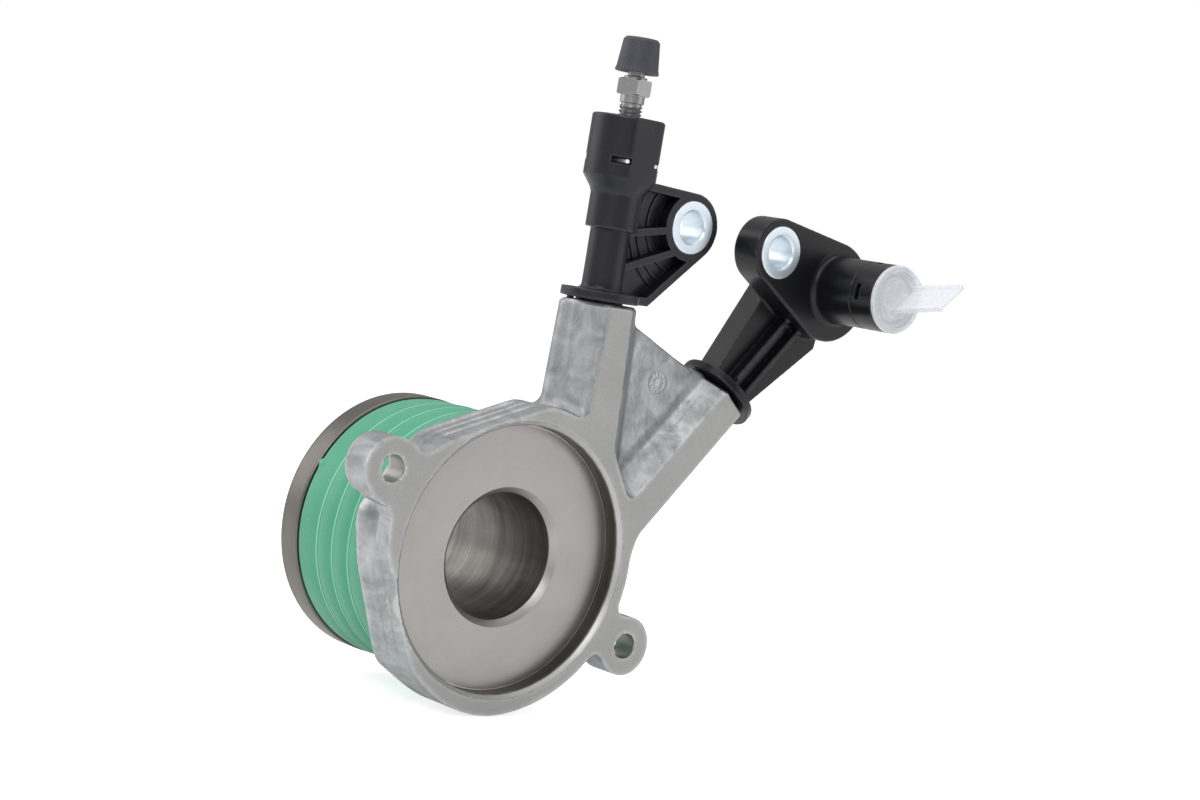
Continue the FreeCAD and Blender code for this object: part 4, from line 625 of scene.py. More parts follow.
# Shader building.
class Builder:
    """Short calls that add nodes to a tree."""

    def __init__(self, tree):
        self.tree = tree

    def link(self, value, socket):
        """Link an output to a socket, or set the socket to a value."""
        if isinstance(value, bpy.types.NodeSocket):
            self.tree.links.new(value, socket)
        else:
            socket.default_value = value

    def node(self, kind, inputs=None, **options):
        node = self.tree.nodes.new(kind)
        for key, value in options.items():
            setattr(node, key, value)
        for key, value in (inputs or {}).items():
            self.link(value, node.inputs[key])
        return node

    def calc(self, operation, a, b=0.0):
        return self.node("ShaderNodeMath", {0: a, 1: b}, operation=operation).outputs[0]

    def times(self, a, b):
        return self.calc("MULTIPLY", a, b)

    def total(self, *shares):
        """Sum of values, each given with its weight."""
        parts = [self.times(value, weight) for value, weight in shares]
        return functools.reduce(functools.partial(self.calc, "ADD"), parts)

    def spread(self, value, low, high, start=0.0, end=1.0):
        return self.node("ShaderNodeMapRange", {0: value, 1: low, 2: high, 3: start, 4: end}).outputs[0]

    def blend(self, share, a, b):
        return self.node("ShaderNodeMix", {0: share, 6: a, 7: b}, data_type="RGBA").outputs[2]

    def noise(self, vector, scale, detail=2.0, rough=0.5, twist=0.0):
        return self.node("ShaderNodeTexNoise", {"Vector": vector, "Scale": scale, "Detail": detail,
                                                "Roughness": rough, "Distortion": twist}).outputs[0]

    def stretch(self, vector, scale, turn=(0.0, 0.0, 0.0)):
        return self.node("ShaderNodeMapping",
                         {"Vector": vector, "Scale": scale, "Rotation": turn}).outputs[0]

    def parts(self, vector):
        """X, Y, Z and the distance from the Y axis."""
        x, y, z = self.node("ShaderNodeSeparateXYZ", {0: vector}).outputs
        return x, y, z, self.calc("SQRT", self.total((x, x), (z, z)))

    def seen_directly(self):
        """Light Path's outputs, and 1 where the camera looks on or through something clear."""
        path = self.node("ShaderNodeLightPath").outputs
        return path, self.calc("MAXIMUM", path["Is Camera Ray"], path["Is Transmission Ray"])


def fresh_tree(owner):
    """Builder for the empty tree of a material or world."""
    owner.use_nodes = True
    owner.node_tree.nodes.clear()
    return Builder(owner.node_tree)


def new_group(name, outputs, **values):
    """Shader node group: its builder, what comes in and the sockets for what it puts out."""
    tree = bpy.data.node_groups.new(name, "ShaderNodeTree")
    tree.interface.new_socket(name="Vector", in_out="INPUT", socket_type="NodeSocketVector")
    for label, value in values.items():
        socket = tree.interface.new_socket(name=label, in_out="INPUT", socket_type="NodeSocketFloat")
        socket.default_value = value
    for label in outputs:
        tree.interface.new_socket(name=label, in_out="OUTPUT", socket_type="NodeSocketFloat")
    return Builder(tree), tree.nodes.new("NodeGroupInput").outputs, tree.nodes.new("NodeGroupOutput").inputs


@functools.cache
def edge_wear_and_light_group():
    """Masks from the curvature: outer edges, lighter as wear and painted highlight and broken up by noise,
    and creases, darker as painted shade.
    """
    make, given, result = new_group("Edge Wear and Painted Light", ["Edge", "Crease"], Amount=0.5)
    curvature = make.node("ShaderNodeAttribute", attribute_name="wear_and_painted_light").outputs["Fac"]
    patch = make.noise(given["Vector"], 420, 3, 0.6)
    # Edge: convex corners, for wear and painted highlight.
    edge = make.times(make.spread(curvature, 0.035, 0.16), make.spread(patch, 0.3, 0.62, 0.25, 1))
    make.link(make.times(edge, given["Amount"]), result["Edge"])
    # Crease: concave corners, for painted shade.
    make.link(make.spread(curvature, -0.03, -0.15), result["Crease"])
    return make.tree


@functools.cache
def cast_skin_group():
    """Tone and height of a die-cast skin: flow streaks, chill patches and fine pits."""
    make, given, result = new_group("Cast Skin", ["Tone", "Height", "Patch"])
    place = given["Vector"]
    swirl = make.noise(place, 70, 3, 0.55, 1.2)
    streak = make.noise(make.stretch(place, (1, 0.22, 0.5), (0.3, 0.2, 0.5)), 300, 4, 0.62, 0.9)
    fine = make.noise(place, 1500, 3, 0.6)
    pit = make.spread(make.noise(place, 700), 0.30, 0.22)
    tone = make.total((swirl, 0.36), (streak, 0.50), (fine, 0.14))
    make.link(make.spread(tone, 0.36, 0.62), result["Tone"])
    make.link(make.total((streak, 0.6), (fine, 0.25), (pit, -0.5), (swirl, 0.5)), result["Height"])
    make.link(make.spread(swirl, 0.5, 0.62), result["Patch"])
    return make.tree


@functools.cache
def turned_group():
    """Tone and height of fine rings about the Y axis, as a tool leaves them."""
    make, given, result = new_group("Turning Marks", ["Tone", "Height"], Fineness=1)
    x, y, z, radius = make.parts(given["Vector"])
    across, along = (make.times(make.times(value, 3200), given["Fineness"]) for value in (radius, y))
    turn = make.times(make.calc("ARCTAN2", x, z), 1.4)
    ring = make.node("ShaderNodeCombineXYZ", {0: across, 1: along, 2: turn}).outputs[0]
    fine = make.noise(ring, 1, 2, 0.6)
    tone = make.total((fine, 0.5), (make.noise(ring, 0.16), 0.5))
    make.link(make.spread(tone, 0.3, 0.7), result["Tone"])
    make.link(fine, result["Height"])
    return make.tree


@functools.cache
def grain_group():
    """Fine even grain of a moulded or milled surface with a faint cloud."""
    make, given, result = new_group("Fine Grain", ["Tone", "Height", "Speck"], Fineness=1)
    place = make.node("ShaderNodeVectorMath", {0: given["Vector"], "Scale": given["Fineness"]},
                      operation="SCALE").outputs[0]
    fine = make.noise(place, 2600, 3, 0.65)
    cloud = make.noise(place, 110, 3, 0.55, 0.6)
    make.link(make.spread(make.total((fine, 0.55), (cloud, 0.45)), 0.32, 0.68), result["Tone"])
    make.link(fine, result["Height"])
    make.link(make.spread(make.noise(place, 900), 0.70, 0.76), result["Speck"])
    return make.tree


class Finish(Builder):
    """New material with its base colour, its shader and the object coordinates."""

    def __init__(self, name, base):
        self.material = bpy.data.materials.new(name)
        super().__init__(fresh_tree(self.material).tree)
        self.base = tuple(base)
        self.shader = self.node("ShaderNodeBsdfPrincipled")
        self.node("ShaderNodeOutputMaterial", {"Surface": self.shader.outputs[0]})
        self.place = self.node("ShaderNodeTexCoord").outputs["Object"]

    def tint(self, factor, warm=0.0):
        red, green, blue = self.base
        return red * factor * (1 + warm), green * factor, blue * factor * (1 - warm), 1

    def pale(self, factor, lift):
        return tuple(min(1, c * factor + lift) for c in self.base) + (1,)

    def group(self, tree, **values):
        return self.node("ShaderNodeGroup", {"Vector": self.place, **values}, node_tree=tree).outputs

    def marks(self, fineness):
        return self.group(turned_group(), Fineness=fineness)

    def grain(self, fineness):
        return self.group(grain_group(), Fineness=fineness)

    def wear_and_painted_light(self, amount):
        return self.group(edge_wear_and_light_group(), Amount=amount)

    def close(self, colour, rough, height, distance, strength, metal=0.0):
        """Feed the shader and hand over the material."""
        relief = self.node("ShaderNodeBump", {"Height": height, "Distance": distance, "Strength": strength})
        for name, value in (("Base Color", colour), ("Roughness", rough), ("Metallic", metal),
                            ("Normal", relief.outputs[0])):
            self.link(value, self.shader.inputs[name])
        return self.material


@functools.cache
def cast_material():
    make = Finish("Cast Aluminium", colours().cast)
    skin, wear_and_painted_light = make.group(cast_skin_group()), make.wear_and_painted_light(0.6)
    colour = make.blend(skin["Tone"], make.tint(0.54), make.tint(1.10))
    # Painted shade: creases darker.
    colour = make.blend(wear_and_painted_light["Crease"], colour, make.tint(0.74))
    # Outer edges lighter: rubbed wear and painted highlight.
    colour = make.blend(wear_and_painted_light["Edge"], colour, make.tint(1.32))
    rough = make.spread(skin["Patch"], 0, 1, 0.50, 0.36)
    return make.close(colour, rough, skin["Height"], 0.00022, 0.75, 0.88)


@functools.cache
def machined_material():
    """Milled aluminium; the recess wall is painted dark as shade and the chamfer of its mouth is painted
    bright as a highlight.
    """
    make = Finish("Machined Aluminium", colours().machined)
    marks, grain = make.marks(1.6), make.grain(0.6)
    tone = make.total((marks["Tone"], 0.3), (grain["Tone"], 0.7))
    colour = make.blend(tone, make.tint(0.88), make.tint(1.10))
    x, y, z, radius = make.parts(make.place)
    # Painted shade: the recess wall is darkened with a warm dark tone.
    painted_wall_shade = make.times(make.spread(radius, 0.03485, 0.03470), make.spread(y, 0.0009, 0.0012))
    dark = make.blend(marks["Tone"], make.tint(0.13, 0.10), make.tint(0.34, 0.08))
    colour = make.blend(painted_wall_shade, colour, dark)
    # Painted highlight: the chamfer at the mouth of the recess is lightened.
    mouth = make.times(make.spread(y, 0.0001, 0.0003), make.spread(radius, 0.03590, 0.03580))
    mouth = make.times(mouth, make.calc("SUBTRACT", 1, painted_wall_shade))
    colour = make.blend(mouth, colour, make.tint(1.4))
    # Outer edges lighter: wear and painted highlight.
    colour = make.blend(make.wear_and_painted_light(0.7)["Edge"], colour, make.tint(1.5))
    rough = make.spread(tone, 0, 1, 0.46, 0.36)
    return make.close(colour, rough, make.calc("ADD", marks["Height"], grain["Height"]), 0.00003, 0.6, 0.92)


def steel_material(name, base, fineness, rough, metal=1.0, height=0.00003, low=0.84, high=1.14):
    """Turned or drawn steel, between two tones."""
    make = Finish(name, base)
    marks, grain = make.marks(fineness), make.grain(0.5)
    tone = make.total((marks["Tone"], 0.6), (grain["Tone"], 0.4))
    colour = make.blend(tone, make.tint(low), make.tint(high))
    # Outer edges lighter: wear and painted highlight.
    colour = make.blend(make.wear_and_painted_light(0.8)["Edge"], colour, make.tint(1.45))
    rough = make.spread(tone, 0, 1, rough + 0.06, rough - 0.06)
    return make.close(colour, rough, marks["Height"], height, 0.8, metal)


@functools.cache
def spring_material():
    return steel_material("Spring Steel", (0.20, 0.20, 0.205), 1, 0.36)


@functools.cache
def bearing_material():
    return steel_material("Bearing Steel", colours().bearing, 1.3, 0.38, 0.95)


@functools.cache
def grey_zinc_material():
    return steel_material("Grey Zinc", (0.35, 0.348, 0.352), 0.8, 0.36, 0.95, 0.00003, 0.86, 1.12)


@functools.cache
def sleeve_material():
    """Satin disc with a painted highlight on its rim; the bore gets painted shade, with rings from the
    reamer and streaks of painted reflection.
    """
    make = Finish("Sleeve Steel", colours().steel)
    marks, grain = make.marks(0.8), make.grain(0.9)
    x, y, z, radius = make.parts(make.place)
    sweep = make.noise(make.stretch(make.place, (1, 0.35, 1), (0, 0, 0.35)), 130, 3, 0.6, 1.2)
    tone = make.total((marks["Tone"], 0.22), (grain["Tone"], 0.78))
    face = make.blend(tone, make.tint(0.92), make.tint(1.07))
    # Outer edges lighter: wear and painted highlight.
    face = make.blend(make.wear_and_painted_light(0.7)["Edge"], face, make.tint(1.45))
    # Painted highlight: a bright ring at the rim of the disc.
    face = make.blend(make.spread(radius, 0.03408, 0.03414), face, make.tint(2.3))
    # Painted reflection: streaks in the bore, over the turning rings.
    streak = make.total((marks["Tone"], 0.65), (sweep, 0.5))
    bore_shade_and_reflection = make.blend(streak, make.tint(0.16, 0.06), make.tint(0.78, 0.03))
    # Painted shade: the bore is darkened.
    colour = make.blend(make.calc("LESS_THAN", radius, 0.01655), face, bore_shade_and_reflection)
    rough = make.spread(tone, 0, 1, 0.44, 0.36)
    return make.close(colour, rough, marks["Height"], 0.00003, 0.5, 0.95)


def moulded_material(name, base, rough, fineness, height, contrast=0.25, edge=0.35, speckle=0.0, gloss=0.4):
    """Moulded plastic or rubber: fine grain, faint cloud, lighter edges from rubbing and painted highlight.
    """
    make = Finish(name, base)
    grain = make.grain(fineness)
    colour = make.blend(grain["Tone"], make.tint(1 - contrast), make.tint(1 + contrast))
    # Outer edges lighter: wear and painted highlight.
    colour = make.blend(make.wear_and_painted_light(edge)["Edge"], colour, make.pale(1.6, 0.02))
    if speckle:
        colour = make.blend(make.times(grain["Speck"], speckle), colour, make.pale(2, 0.05))
    make.shader.inputs["Specular IOR Level"].default_value = gloss
    rough = make.spread(grain["Tone"], 0, 1, rough + 0.07, rough - 0.07)
    return make.close(colour, rough, grain["Height"], height, 0.7)


def plastic_material():
    return moulded_material("Black Plastic", colours().plastic, 0.36, 0.8, 0.00003, 0.3, 0.8, 0.12, 0.42)


def glossy_plastic_material():
    base = tuple(0.6 * c for c in colours().plastic)
    return moulded_material("Glossy Black Plastic", base, 0.34, 0.8, 0.00001, 0.3, 0.8, 0.04, 0.34)


def boot_material():
    """Green rubber with paler thin ridges and specks."""
    make = Finish("Green Boot", colours().rubber)
    grain = make.grain(0.7)
    colour = make.blend(grain["Tone"], make.tint(0.93), make.tint(1.07))
    pale = (0.26, 0.64, 0.47, 1)
    depth = make.parts(make.place)[1]
    # Convex edges lighter as wear and painted highlight; the seams below get pale flash lines.
    ridge = make.times(make.wear_and_painted_light(1)["Edge"], 0.5)
    for seam in BOOT_SEAMS[1:-1]:
        away = make.calc("ABSOLUTE", make.calc("SUBTRACT", depth, seam * MM))
        ridge = make.calc("MAXIMUM", ridge, make.spread(away, 0.00034, 0.00018))
    colour = make.blend(make.times(ridge, 0.95), colour, pale)
    colour = make.blend(make.times(grain["Speck"], 0.25), colour, pale)
    make.shader.inputs["Sheen Weight"].default_value = 0.12
    rough = make.spread(grain["Tone"], 0, 1, 0.56, 0.46)
    return make.close(colour, rough, grain["Height"], 0.00004, 0.6)


def plug_material():
    """Milky plastic that the background shows through, with faint flow marks."""
    make = Finish("Milky Plug", colours().plug)
    flow = make.noise(make.stretch(make.place, (1, 0.25, 1)), 260, 3, 0.55, 0.8)
    colour = make.blend(flow, make.tint(0.97), make.tint(1.03))
    solid = make.total((make.spread(flow, 0.3, 0.7, 0.56, 0.64), 1), (make.wear_and_painted_light(1)["Edge"], 0.3))
    make.link(solid, make.shader.inputs["Alpha"])
    rough = make.spread(make.grain(0.5)["Tone"], 0, 1, 0.34, 0.22)
    return make.close(colour, rough, flow, 0.00005, 0.3)


# Geometry node trees.
def geometry_tree(name, **values):
    """Geometry node tree with named inputs: its builder and what comes in."""
    tree = bpy.data.node_groups.new(name, "GeometryNodeTree")
    tree.interface.new_socket(name="Geometry", in_out="OUTPUT", socket_type="NodeSocketGeometry")
    for label, value in values.items():
        kind = "NodeSocketInt" if isinstance(value, int) else "NodeSocketFloat"
        tree.interface.new_socket(name=label, in_out="INPUT", socket_type=kind).default_value = value
    return Builder(tree), tree.nodes.new("NodeGroupInput").outputs


def close_tree(make, geometry, material):
    real = make.node("GeometryNodeRealizeInstances", {"Geometry": geometry})
    finish = make.node("GeometryNodeSetMaterial", {"Geometry": real.outputs[0], "Material": material})
    make.node("NodeGroupOutput", {0: finish.outputs[0]})
    return make.tree


def bake_tree(name, tree, **values):
    """Plain mesh of what a tree makes with these inputs."""
    carrier = bpy.data.objects.new(name + "_tree", bpy.data.meshes.new(name + "_tree"))
    bpy.context.scene.collection.objects.link(carrier)
    modifier = carrier.modifiers.new("tree", "NODES")
    modifier.node_group = tree
    for item in tree.interface.items_tree:
        if item.in_out == "INPUT" and item.name in values:
            modifier[item.identifier] = values[item.name]
    bpy.context.view_layer.update()
    graph = bpy.context.evaluated_depsgraph_get()
    mesh = bpy.data.meshes.new_from_object(carrier.evaluated_get(graph))
    mesh.name = name
    carrier.modifiers.remove(modifier)
    bpy.data.objects.remove(carrier)
    if not len(mesh.polygons):
        raise RuntimeError(name + " came out empty")
    return mesh


def sweep(make, path, profile, **inputs):
    return make.node("GeometryNodeCurveToMesh", {
        "Curve": path.outputs["Curve"], "Profile Curve": profile.outputs["Curve"], **inputs}).outputs[0]


def dial_tree(material):
    """Two raised rings with a set of ticks between them, flat on the XZ plane."""
    make, given = geometry_tree("Dial Ring", Radius=0.003, Line=0.0002, Ticks=12)
    radius, line = given["Radius"], given["Line"]
    profile = make.node("GeometryNodeCurvePrimitiveCircle", {"Resolution": 8, "Radius": line})
    parts = []
    for share in (1, 0.42):
        path = make.node("GeometryNodeCurvePrimitiveCircle",
                         {"Resolution": 64, "Radius": make.times(radius, share)})
        parts.append(sweep(make, path, profile))
    spots = make.node("GeometryNodeMeshCircle",
                      {"Vertices": given["Ticks"], "Radius": make.times(radius, 0.71)})
    place = make.node("GeometryNodeInputPosition").outputs[0]
    way = make.node("FunctionNodeAlignRotationToVector", {"Vector": place}, axis="X")
    extent = make.node("ShaderNodeCombineXYZ", {
        0: make.times(radius, 0.30), 1: make.times(line, 1.5), 2: make.times(line, 1.6)})
    tick = make.node("GeometryNodeMeshCube", {"Size": extent.outputs[0]})
    parts.append(make.node("GeometryNodeInstanceOnPoints", {
        "Points": spots.outputs["Mesh"], "Instance": tick.outputs["Mesh"],
        "Rotation": way.outputs[0]}).outputs[0])
    together = make.node("GeometryNodeJoinGeometry")
    for part in parts:
        make.link(part, together.inputs[0])
    return close_tree(make, together.outputs[0], material)


def coil_tree(material):
    """Coil spring standing on Z: a spiral swept with a round wire."""
    make, given = geometry_tree("Coil Spring", Radius=0.03, Wire=0.0011, Turns=4.5, Height=0.023)
    spiral = make.node("GeometryNodeCurveSpiral", {
        "Resolution": 64, "Rotations": given["Turns"], "Start Radius": given["Radius"],
        "End Radius": given["Radius"], "Height": given["Height"]})
    wire = make.node("GeometryNodeCurvePrimitiveCircle", {"Resolution": 12, "Radius": given["Wire"]})
    return close_tree(make, sweep(make, spiral, wire, **{"Fill Caps": True}), material)


class SLAVE_OT_housing(bpy.types.Operator):
    """Shape the die-cast housing with its fillets, machined faces and web dial."""
    bl_idname = "slave.housing"
    bl_label = "Housing"

    def execute(self, context):
        cast = cast_material()
        mesh = shape_mesh("housing_casting", housing_form, (-51.2, -0.9, -40.1), (74, 32.6, 67.2),
                          sizes().cast_grain * 1000, housing_finish)
        add_piece(mesh, [cast, machined_material()], "body", "cast_aluminium", "housing")
        dial = bake_tree("web_dial", dial_tree(cast), Radius=sizes().dial_radius, Line=0.00022, Ticks=12)
        dial.transform(Matrix.Translation((0.0447, 0.00737, 0.0486)) @ Matrix.Rotation(math.pi / 2, 4, "X"))
        finish_mesh(dial)
        add_piece(dial, [cast], "body", "cast_aluminium")
        return {"FINISHED"}


class SLAVE_OT_sleeve(bpy.types.Operator):
    """Turn the guide sleeve with its disc."""
    bl_idname = "slave.sleeve"
    bl_label = "Guide Sleeve"

    def execute(self, context):
        outline = rounded([
            (18.13, 5.2, 0.12), (34.40, 5.2, 0.05), (34.55, 5.3, 0.05), (34.55, 7, 0.1),
            (19.3, 7, 0), (18.5, 7.8, 0.3), (18.5, 57, 0), (17.7, 57, 0),
            (17.7, 58.35, 0), (18.5, 58.35, 0), (18.5, 60.4, 0.2), (17.9, 61, 0.2),
            (16.9, 61, 0.1), (16.5, 60.6, 0.1), (16.5, 6.83, 0.12)], 0.1)
        mesh = lathe_mesh("guide_sleeve_turned", outline)
        add_piece(mesh, [sleeve_material()], "body", "turned_steel", "guide_sleeve")
        return {"FINISHED"}


class SLAVE_OT_boot(bpy.types.Operator):
    """Mould the green dust boot and wind the spring under it."""
    bl_idname = "slave.boot"
    bl_label = "Boot and Spring"

    def outline(self):
        """Bands with crowns and the thin ridges between them, then the plain inside."""
        crown, ridge = sizes().boot_crown * 1000, sizes().boot_ridge * 1000
        outline = [(33.9, BOOT_SEAMS[0]), (BOOT_RADIUS, BOOT_SEAMS[0] + 0.35)]
        for i, (low, high) in enumerate(zip(BOOT_SEAMS, BOOT_SEAMS[1:])):
            if i:
                for share, away in ((0.2, -0.38), (0.9, -0.2), (1, 0), (0.9, 0.2), (0.2, 0.38)):
                    outline.append((BOOT_RADIUS + ridge * share, low + away))
            height = crown * (0.75 if i == 3 else 1)
            for k in range(1, 10):
                t = k / 10
                outline.append((BOOT_RADIUS + height * (1 - (2 * t - 1) ** 2),
                                low + 0.45 + (high - low - 0.9) * t))
        return outline + [
            (BOOT_RADIUS, 46.15), (34, 46.4), (33.45, 46.4), (33.45, 45.1), (32.65, 45.1),
            (32.65, 44.78), (33.45, 44.78), (33.45, 41.9), (32.75, 39.5), (32.75, 20), (31.65, 18.5),
            (31.65, 17.25), (30.65, 17.25), (30.65, 15.75), (31.65, 15.75), (31.65, 14.8)]

    def execute(self, context):
        mesh = lathe_mesh("dust_boot_moulded", self.outline(), steps=240)
        x, y, z = fetch(mesh.vertices, "co", 3).T / MM
        # A torn tag of flash lifts the rear lip.
        near = swell(np.degrees(np.arctan2(x, z)), -63.6, 1.1) * ease(y, 43.2, 45.6)
        scale = 1 + near * (np.hypot(x, z) > 33.9) / BOOT_RADIUS
        torn = np.stack([x * scale, y, z * scale], 1) * MM
        mesh.vertices.foreach_set("co", torn.astype(np.float32).ravel())
        mesh.update()
        boot = add_piece(mesh, [boot_material()], "body", "green_rubber", "dust_boot")
        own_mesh(boot)
        dark = spring_material()
        coil = bake_tree("preload_coil", coil_tree(dark), Radius=0.030, Wire=0.0011, Turns=4.5,
                         Height=0.0232)
        coil.transform(Matrix.Translation((0, 0.01965, 0)) @ Matrix.Rotation(-math.pi / 2, 4, "X"))
        finish_mesh(coil)
        spring = add_piece(coil, [dark], "body", "spring_steel", "preload_spring")
        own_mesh(spring)
        return {"FINISHED"}


class SLAVE_OT_bearing(bpy.types.Operator):
    """Grind the turning ring of the release bearing."""
    bl_idname = "slave.bearing"
    bl_label = "Release Bearing"

    def execute(self, context):
        outline = rounded([
            (30.2, 46.8, 0.1), (34.5, 46.8, 0.15), (34.86, 47.15, 0.2), (34.86, 53.7, 0.5),
            (34, 54.6, 0.4), (31.6, 54.9, 0.5), (29.4, 56.2, 0.6), (28.4, 57.5, 0.5), (27, 57.8, 0.6),
            (25.6, 57.5, 0.4), (24, 56, 0.3), (24, 54.54, 0.2), (30.2, 54.54, 0),
            (30.2, 52.2, 0), (31.1, 51.3, 0.3), (31.4, 50.1, 0.3), (31.1, 48.9, 0.3),
            (30.2, 48, 0)], 0.1)
        mesh = lathe_mesh("bearing_ring_ground", outline, steps=224)
        add_piece(mesh, [bearing_material()], "turning_ring", "bearing_steel", "bearing_outer_ring")
        return {"FINISHED"}


class SLAVE_OT_bleed_adapter(bpy.types.Operator):
    """Mould the bleed adapter with its ribbed arm, and bend its clip."""
    bl_idname = "slave.bleed_adapter"
    bl_label = "Bleed Adapter"

    def execute(self, context):
        mesh = shape_mesh("bleed_adapter_moulded", bleed_adapter_form, (10.6, -1.6, 45.9),
                          (58.9, 20.4, 116.1), sizes().plastic_grain * 1000)
        add_piece(mesh, [plastic_material()], "body", "black_plastic", "bleed_adapter")
        wire = steel_material("Clip Wire", (0.80, 0.80, 0.81), 0.8, 0.34, 0.5)
        clip = shape_mesh("bleed_clip_wire", clip_form, (16, 1, 103.1), (27.2, 17.6, 104.9), 0.16)
        add_piece(clip, [wire], "body", "spring_steel", "bleed_clip")
        return {"FINISHED"}


class SLAVE_OT_inlet_adapter(bpy.types.Operator):
    """Mould the inlet adapter with its fan, plate and connector tube."""
    bl_idname = "slave.inlet_adapter"
    bl_label = "Inlet Adapter"

    def execute(self, context):
        mesh = shape_mesh("inlet_adapter_moulded", inlet_adapter_form, (48.2, -24.2, 26.2),
                          (111.6, 21.4, 97.6), sizes().plastic_grain * 1000)
        add_piece(mesh, [glossy_plastic_material()], "body", "black_plastic", "inlet_adapter")
        return {"FINISHED"}


class SLAVE_OT_bushings(bpy.types.Operator):
    """Turn the two zinc-plated bushings."""
    bl_idname = "slave.bushings"
    bl_label = "Bushings"

    def execute(self, context):
        zinc = steel_material("Bright Zinc", colours().zinc, 0.7, 0.34, 0.8, 0.00002, 0.95, 1.05)
        proud = 0.25
        for name, spot, front in (("bleed_bushing", BLEED_LUG, BLEED_FRONT),
                                  ("inlet_bushing", INLET_LUG, INLET_FRONT)):
            low, high = front - proud, front + PLATE_DEPTH + proud
            outline = rounded([(4.25, low + 0.5, 0.2), (4.75, low, 0.15), (7.05, low, 0.25),
                               (7.05, high, 0.25), (4.75, high, 0.15), (4.25, high - 0.5, 0.2)], 0.2)
            mesh = lathe_mesh(name + "_turned", outline, spot, steps=128)
            add_piece(mesh, [zinc], "body", "zinc_steel", name)
        return {"FINISHED"}


class SLAVE_OT_bleed_screw(bpy.types.Operator):
    """Cut the bleed screw with its thread and hexagon, and mould its cap."""
    bl_idname = "slave.bleed_screw"
    bl_label = "Bleed Screw and Cap"

    def execute(self, context):
        mesh = shape_mesh("bleed_screw_cut", screw_form, (16.6, 4.6, 101.2), (26.6, 14.2, 133.3), 0.17)
        add_piece(mesh, [grey_zinc_material()], "bleeder", "plated_steel", "bleed_screw")
        rubber = moulded_material("Cap Rubber", colours().cap, 0.55, 0.8, 0.00006, 0.25, 0.6, 0.3)
        outline = rounded([
            (3, 128.3, 0.15), (4.6, 127.3, 0.4), (5.6, 127, 0.12), (5.75, 127.4, 0.12),
            (5.45, 128.3, 0.6), (4.75, 135.3, 0.7), (4.1, 136, 0.5), (0, 136, 0),
            (0, 133.3, 0), (3, 133.3, 0.2)], 0.2, 4)
        cap = lathe_mesh("bleed_cap_moulded", outline, (BLEED_X, PORT_DEPTH), True, 96)
        add_piece(cap, [rubber], "bleeder_cap", "grey_rubber", "bleed_cap")
        return {"FINISHED"}


class SLAVE_OT_plug(bpy.types.Operator):
    """Mould the milky transit plug with its pull blade."""
    bl_idname = "slave.plug"
    bl_label = "Transit Plug"

    def execute(self, context):
        mesh = shape_mesh("transit_plug_moulded", plug_form, (86.4, -47.4, 71.2),
                          (105.2, -14.2, 90), 0.26)
        add_piece(mesh, [plug_material()], "plug", "clear_plastic", "transit_plug")
        return {"FINISHED"}


class SLAVE_OT_small_parts(bpy.types.Operator):
    """Give the hidden and small CAD nodes their finishes."""
    bl_idname = "slave.small_parts"
    bl_label = "Small Parts"

    def execute(self, context):
        bright = steel_material("Polished Steel", (0.62, 0.62, 0.63), 0.5, 0.16)
        seal = moulded_material("Seal Rubber", (0.018, 0.018, 0.019), 0.5, 1, 0.00003)
        plain = moulded_material("Carrier Plastic", (0.10, 0.095, 0.09), 0.5, 0.8, 0.00005)
        for material, names in (
                (seal, ("sleeve_gasket", "piston_seal", "spigot_seals", "socket_seal")),
                (spring_material(), ("stop_ring", "adapter_pins", "bearing_clip")),
                (bearing_material(), ("bearing_inner_ring", "bearing_shield")),
                (plain, ("ball_cage", "piston", "bearing_carrier")),
                (bright, ("bearing_balls",)), (grey_zinc_material(), ("bleed_insert",))):
            for name in names:
                for material_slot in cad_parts[name].material_slots:
                    material_slot.material = material
        return {"FINISHED"}


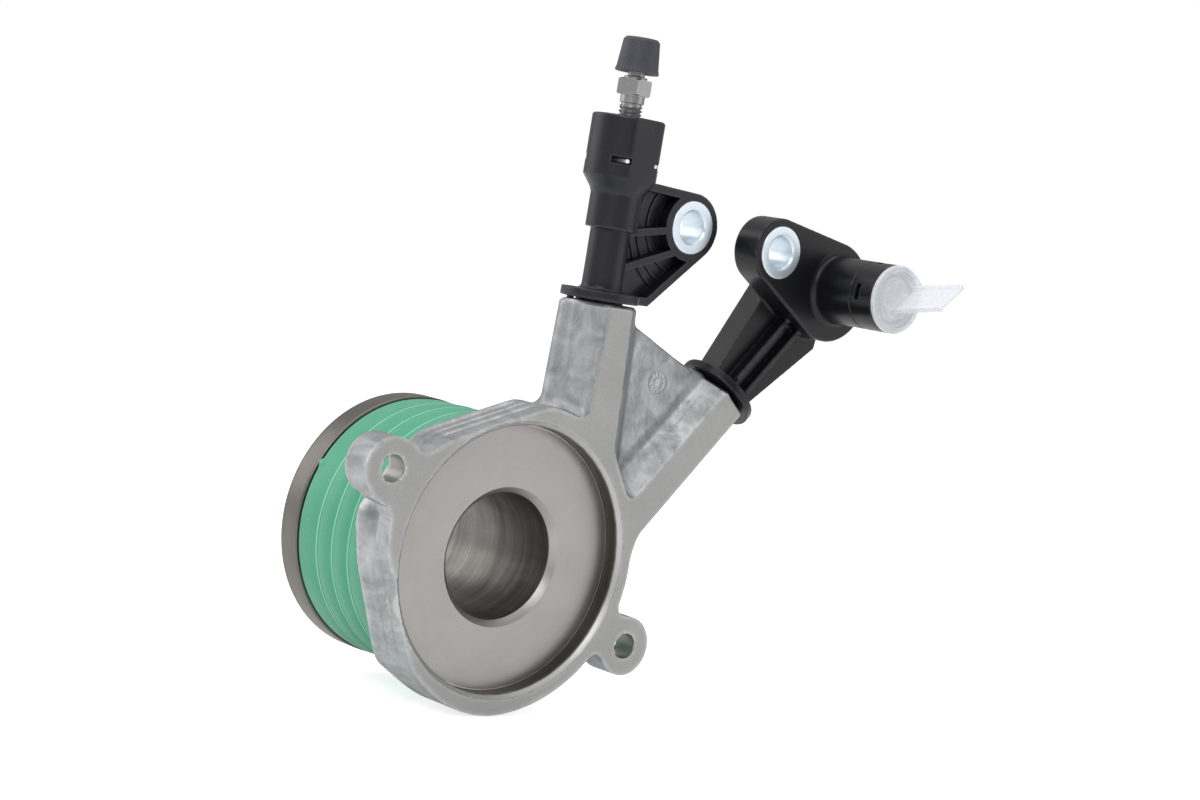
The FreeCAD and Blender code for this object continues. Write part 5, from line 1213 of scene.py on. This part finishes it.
class SLAVE_OT_stage(bpy.types.Operator):
    """Set the pale floor, the soft lights and the camera."""
    bl_idname = "slave.stage"
    bl_label = "Stage"

    def add_floor(self, scene, half=30.0):
        mesh = bpy.data.meshes.new("floor")
        mesh.from_pydata([(x, y, FLOOR) for x, y in ((-half, -half), (half, -half), (half, half),
                                                     (-half, half))], [], [(0, 1, 2, 3)])
        floor = bpy.data.objects.new("floor", mesh)
        scene.collection.objects.link(floor)
        material = bpy.data.materials.new("Pale Floor")
        mesh.materials.append(material)
        make = fresh_tree(material)
        path, seen = make.seen_directly()
        dull = make.node("ShaderNodeBsdfDiffuse", {"Color": (0.9, 0.9, 0.9, 1)})
        level = make.total((seen, 0.72), (path["Is Glossy Ray"], 0.25))
        glow = make.node("ShaderNodeEmission", {"Color": (1, 1, 1, 1), "Strength": level})
        both_ways = make.node("ShaderNodeAddShader", {0: dull.outputs[0], 1: glow.outputs[0]})
        make.node("ShaderNodeOutputMaterial", {"Surface": both_ways.outputs[0]})

    def add_world(self, scene):
        scene.world = bpy.data.worlds.new("Studio")
        make = fresh_tree(scene.world)
        x, y, z, _ = make.parts(make.node("ShaderNodeTexCoord").outputs["Generated"])
        level = make.times(make.spread(z, -0.6, 0.9, 0.22, 0.62), make.spread(y, -1, 0.3, 0.60, 1))
        soft, white = (make.node("ShaderNodeBackground", {"Color": (1, 1, 1, 1), "Strength": power})
                       for power in (level, 1))
        mix = make.node("ShaderNodeMixShader", {0: make.seen_directly()[1], 1: soft.outputs[0],
                                                2: white.outputs[0]})
        make.node("ShaderNodeOutputWorld", {"Surface": mix.outputs[0]})

    def add_lamps(self, scene):
        for name, spot, size, power, aim in (
                ("key", (-0.75, -0.55, 0.75), 0.7, 4.6, (0, 0, 0.03)),
                ("fill", (0.75, -0.75, 0.40), 0.8, 1.9, (0.03, 0, 0.03)),
                ("top", (0, 0.1, 1), 0.9, 4.2, (0.02, 0, 0.03)),
                ("rim", (-0.5, 0.8, 0.4), 0.7, 2.4, (0, 0.02, 0.02))):
            lamp = bpy.data.lights.new(name, "AREA")
            lamp.shape, lamp.size, lamp.energy = "SQUARE", size, power
            holder = bpy.data.objects.new(name, lamp)
            scene.collection.objects.link(holder)
            holder.location = spot
            holder.rotation_euler = (Vector(aim) - Vector(spot)).to_track_quat("-Z", "Y").to_euler()

    def add_camera(self, scene):
        place = Vector((-0.4016, -0.4859, 0.0828))
        right = Vector((0.7523, -0.6383, 0.1635))
        down = Vector((0.08373, -0.15342, -0.98466))
        ahead = Vector((0.65345, 0.75441, -0.06195))
        camera = bpy.data.objects.new("camera", bpy.data.cameras.new("camera"))
        scene.collection.objects.link(camera)
        camera.data.sensor_width = 36
        camera.data.lens = 75.57
        camera.data.clip_start = 0.02
        camera.matrix_world = Matrix.LocRotScale(
            place, Matrix((right, -down, -ahead)).transposed().to_quaternion(), None)
        scene.camera = camera

    def execute(self, context):
        scene = context.scene
        scene.view_settings.view_transform = "Standard"
        self.add_floor(scene)
        self.add_world(scene)
        self.add_lamps(scene)
        self.add_camera(scene)
        return {"FINISHED"}


class SLAVE_PT_panel(bpy.types.Panel):
    bl_idname = "SLAVE_PT_panel"
    bl_label = "Slave Cylinder"
    bl_space_type = "VIEW_3D"
    bl_region_type = "UI"
    bl_category = "Slave Cylinder"

    def draw(self, context):
        column = self.layout.column()
        for group in (context.scene.slave_sizes, context.scene.slave_colours):
            for name in group.__annotations__:
                column.prop(group, name)
        for operator in OPERATORS:
            column.operator(operator.bl_idname)


OPERATORS = (SLAVE_OT_housing, SLAVE_OT_sleeve, SLAVE_OT_boot, SLAVE_OT_bearing, SLAVE_OT_bleed_adapter,
             SLAVE_OT_inlet_adapter, SLAVE_OT_bushings, SLAVE_OT_bleed_screw, SLAVE_OT_plug,
             SLAVE_OT_small_parts, SLAVE_OT_stage)
CLASSES = (SlaveSizes, SlaveColours) + OPERATORS + (SLAVE_PT_panel,)


def register():
    for item in CLASSES:
        bpy.utils.register_class(item)
    bpy.types.Scene.slave_sizes = bpy.props.PointerProperty(type=SlaveSizes)
    bpy.types.Scene.slave_colours = bpy.props.PointerProperty(type=SlaveColours)


def unregister():
    del bpy.types.Scene.slave_colours
    del bpy.types.Scene.slave_sizes
    for item in reversed(CLASSES):
        bpy.utils.unregister_class(item)


def main():
    register()
    for operator in OPERATORS:
        getattr(bpy.ops.slave, operator.bl_idname.partition(".")[2])()


if __name__ == "__main__":
    main()
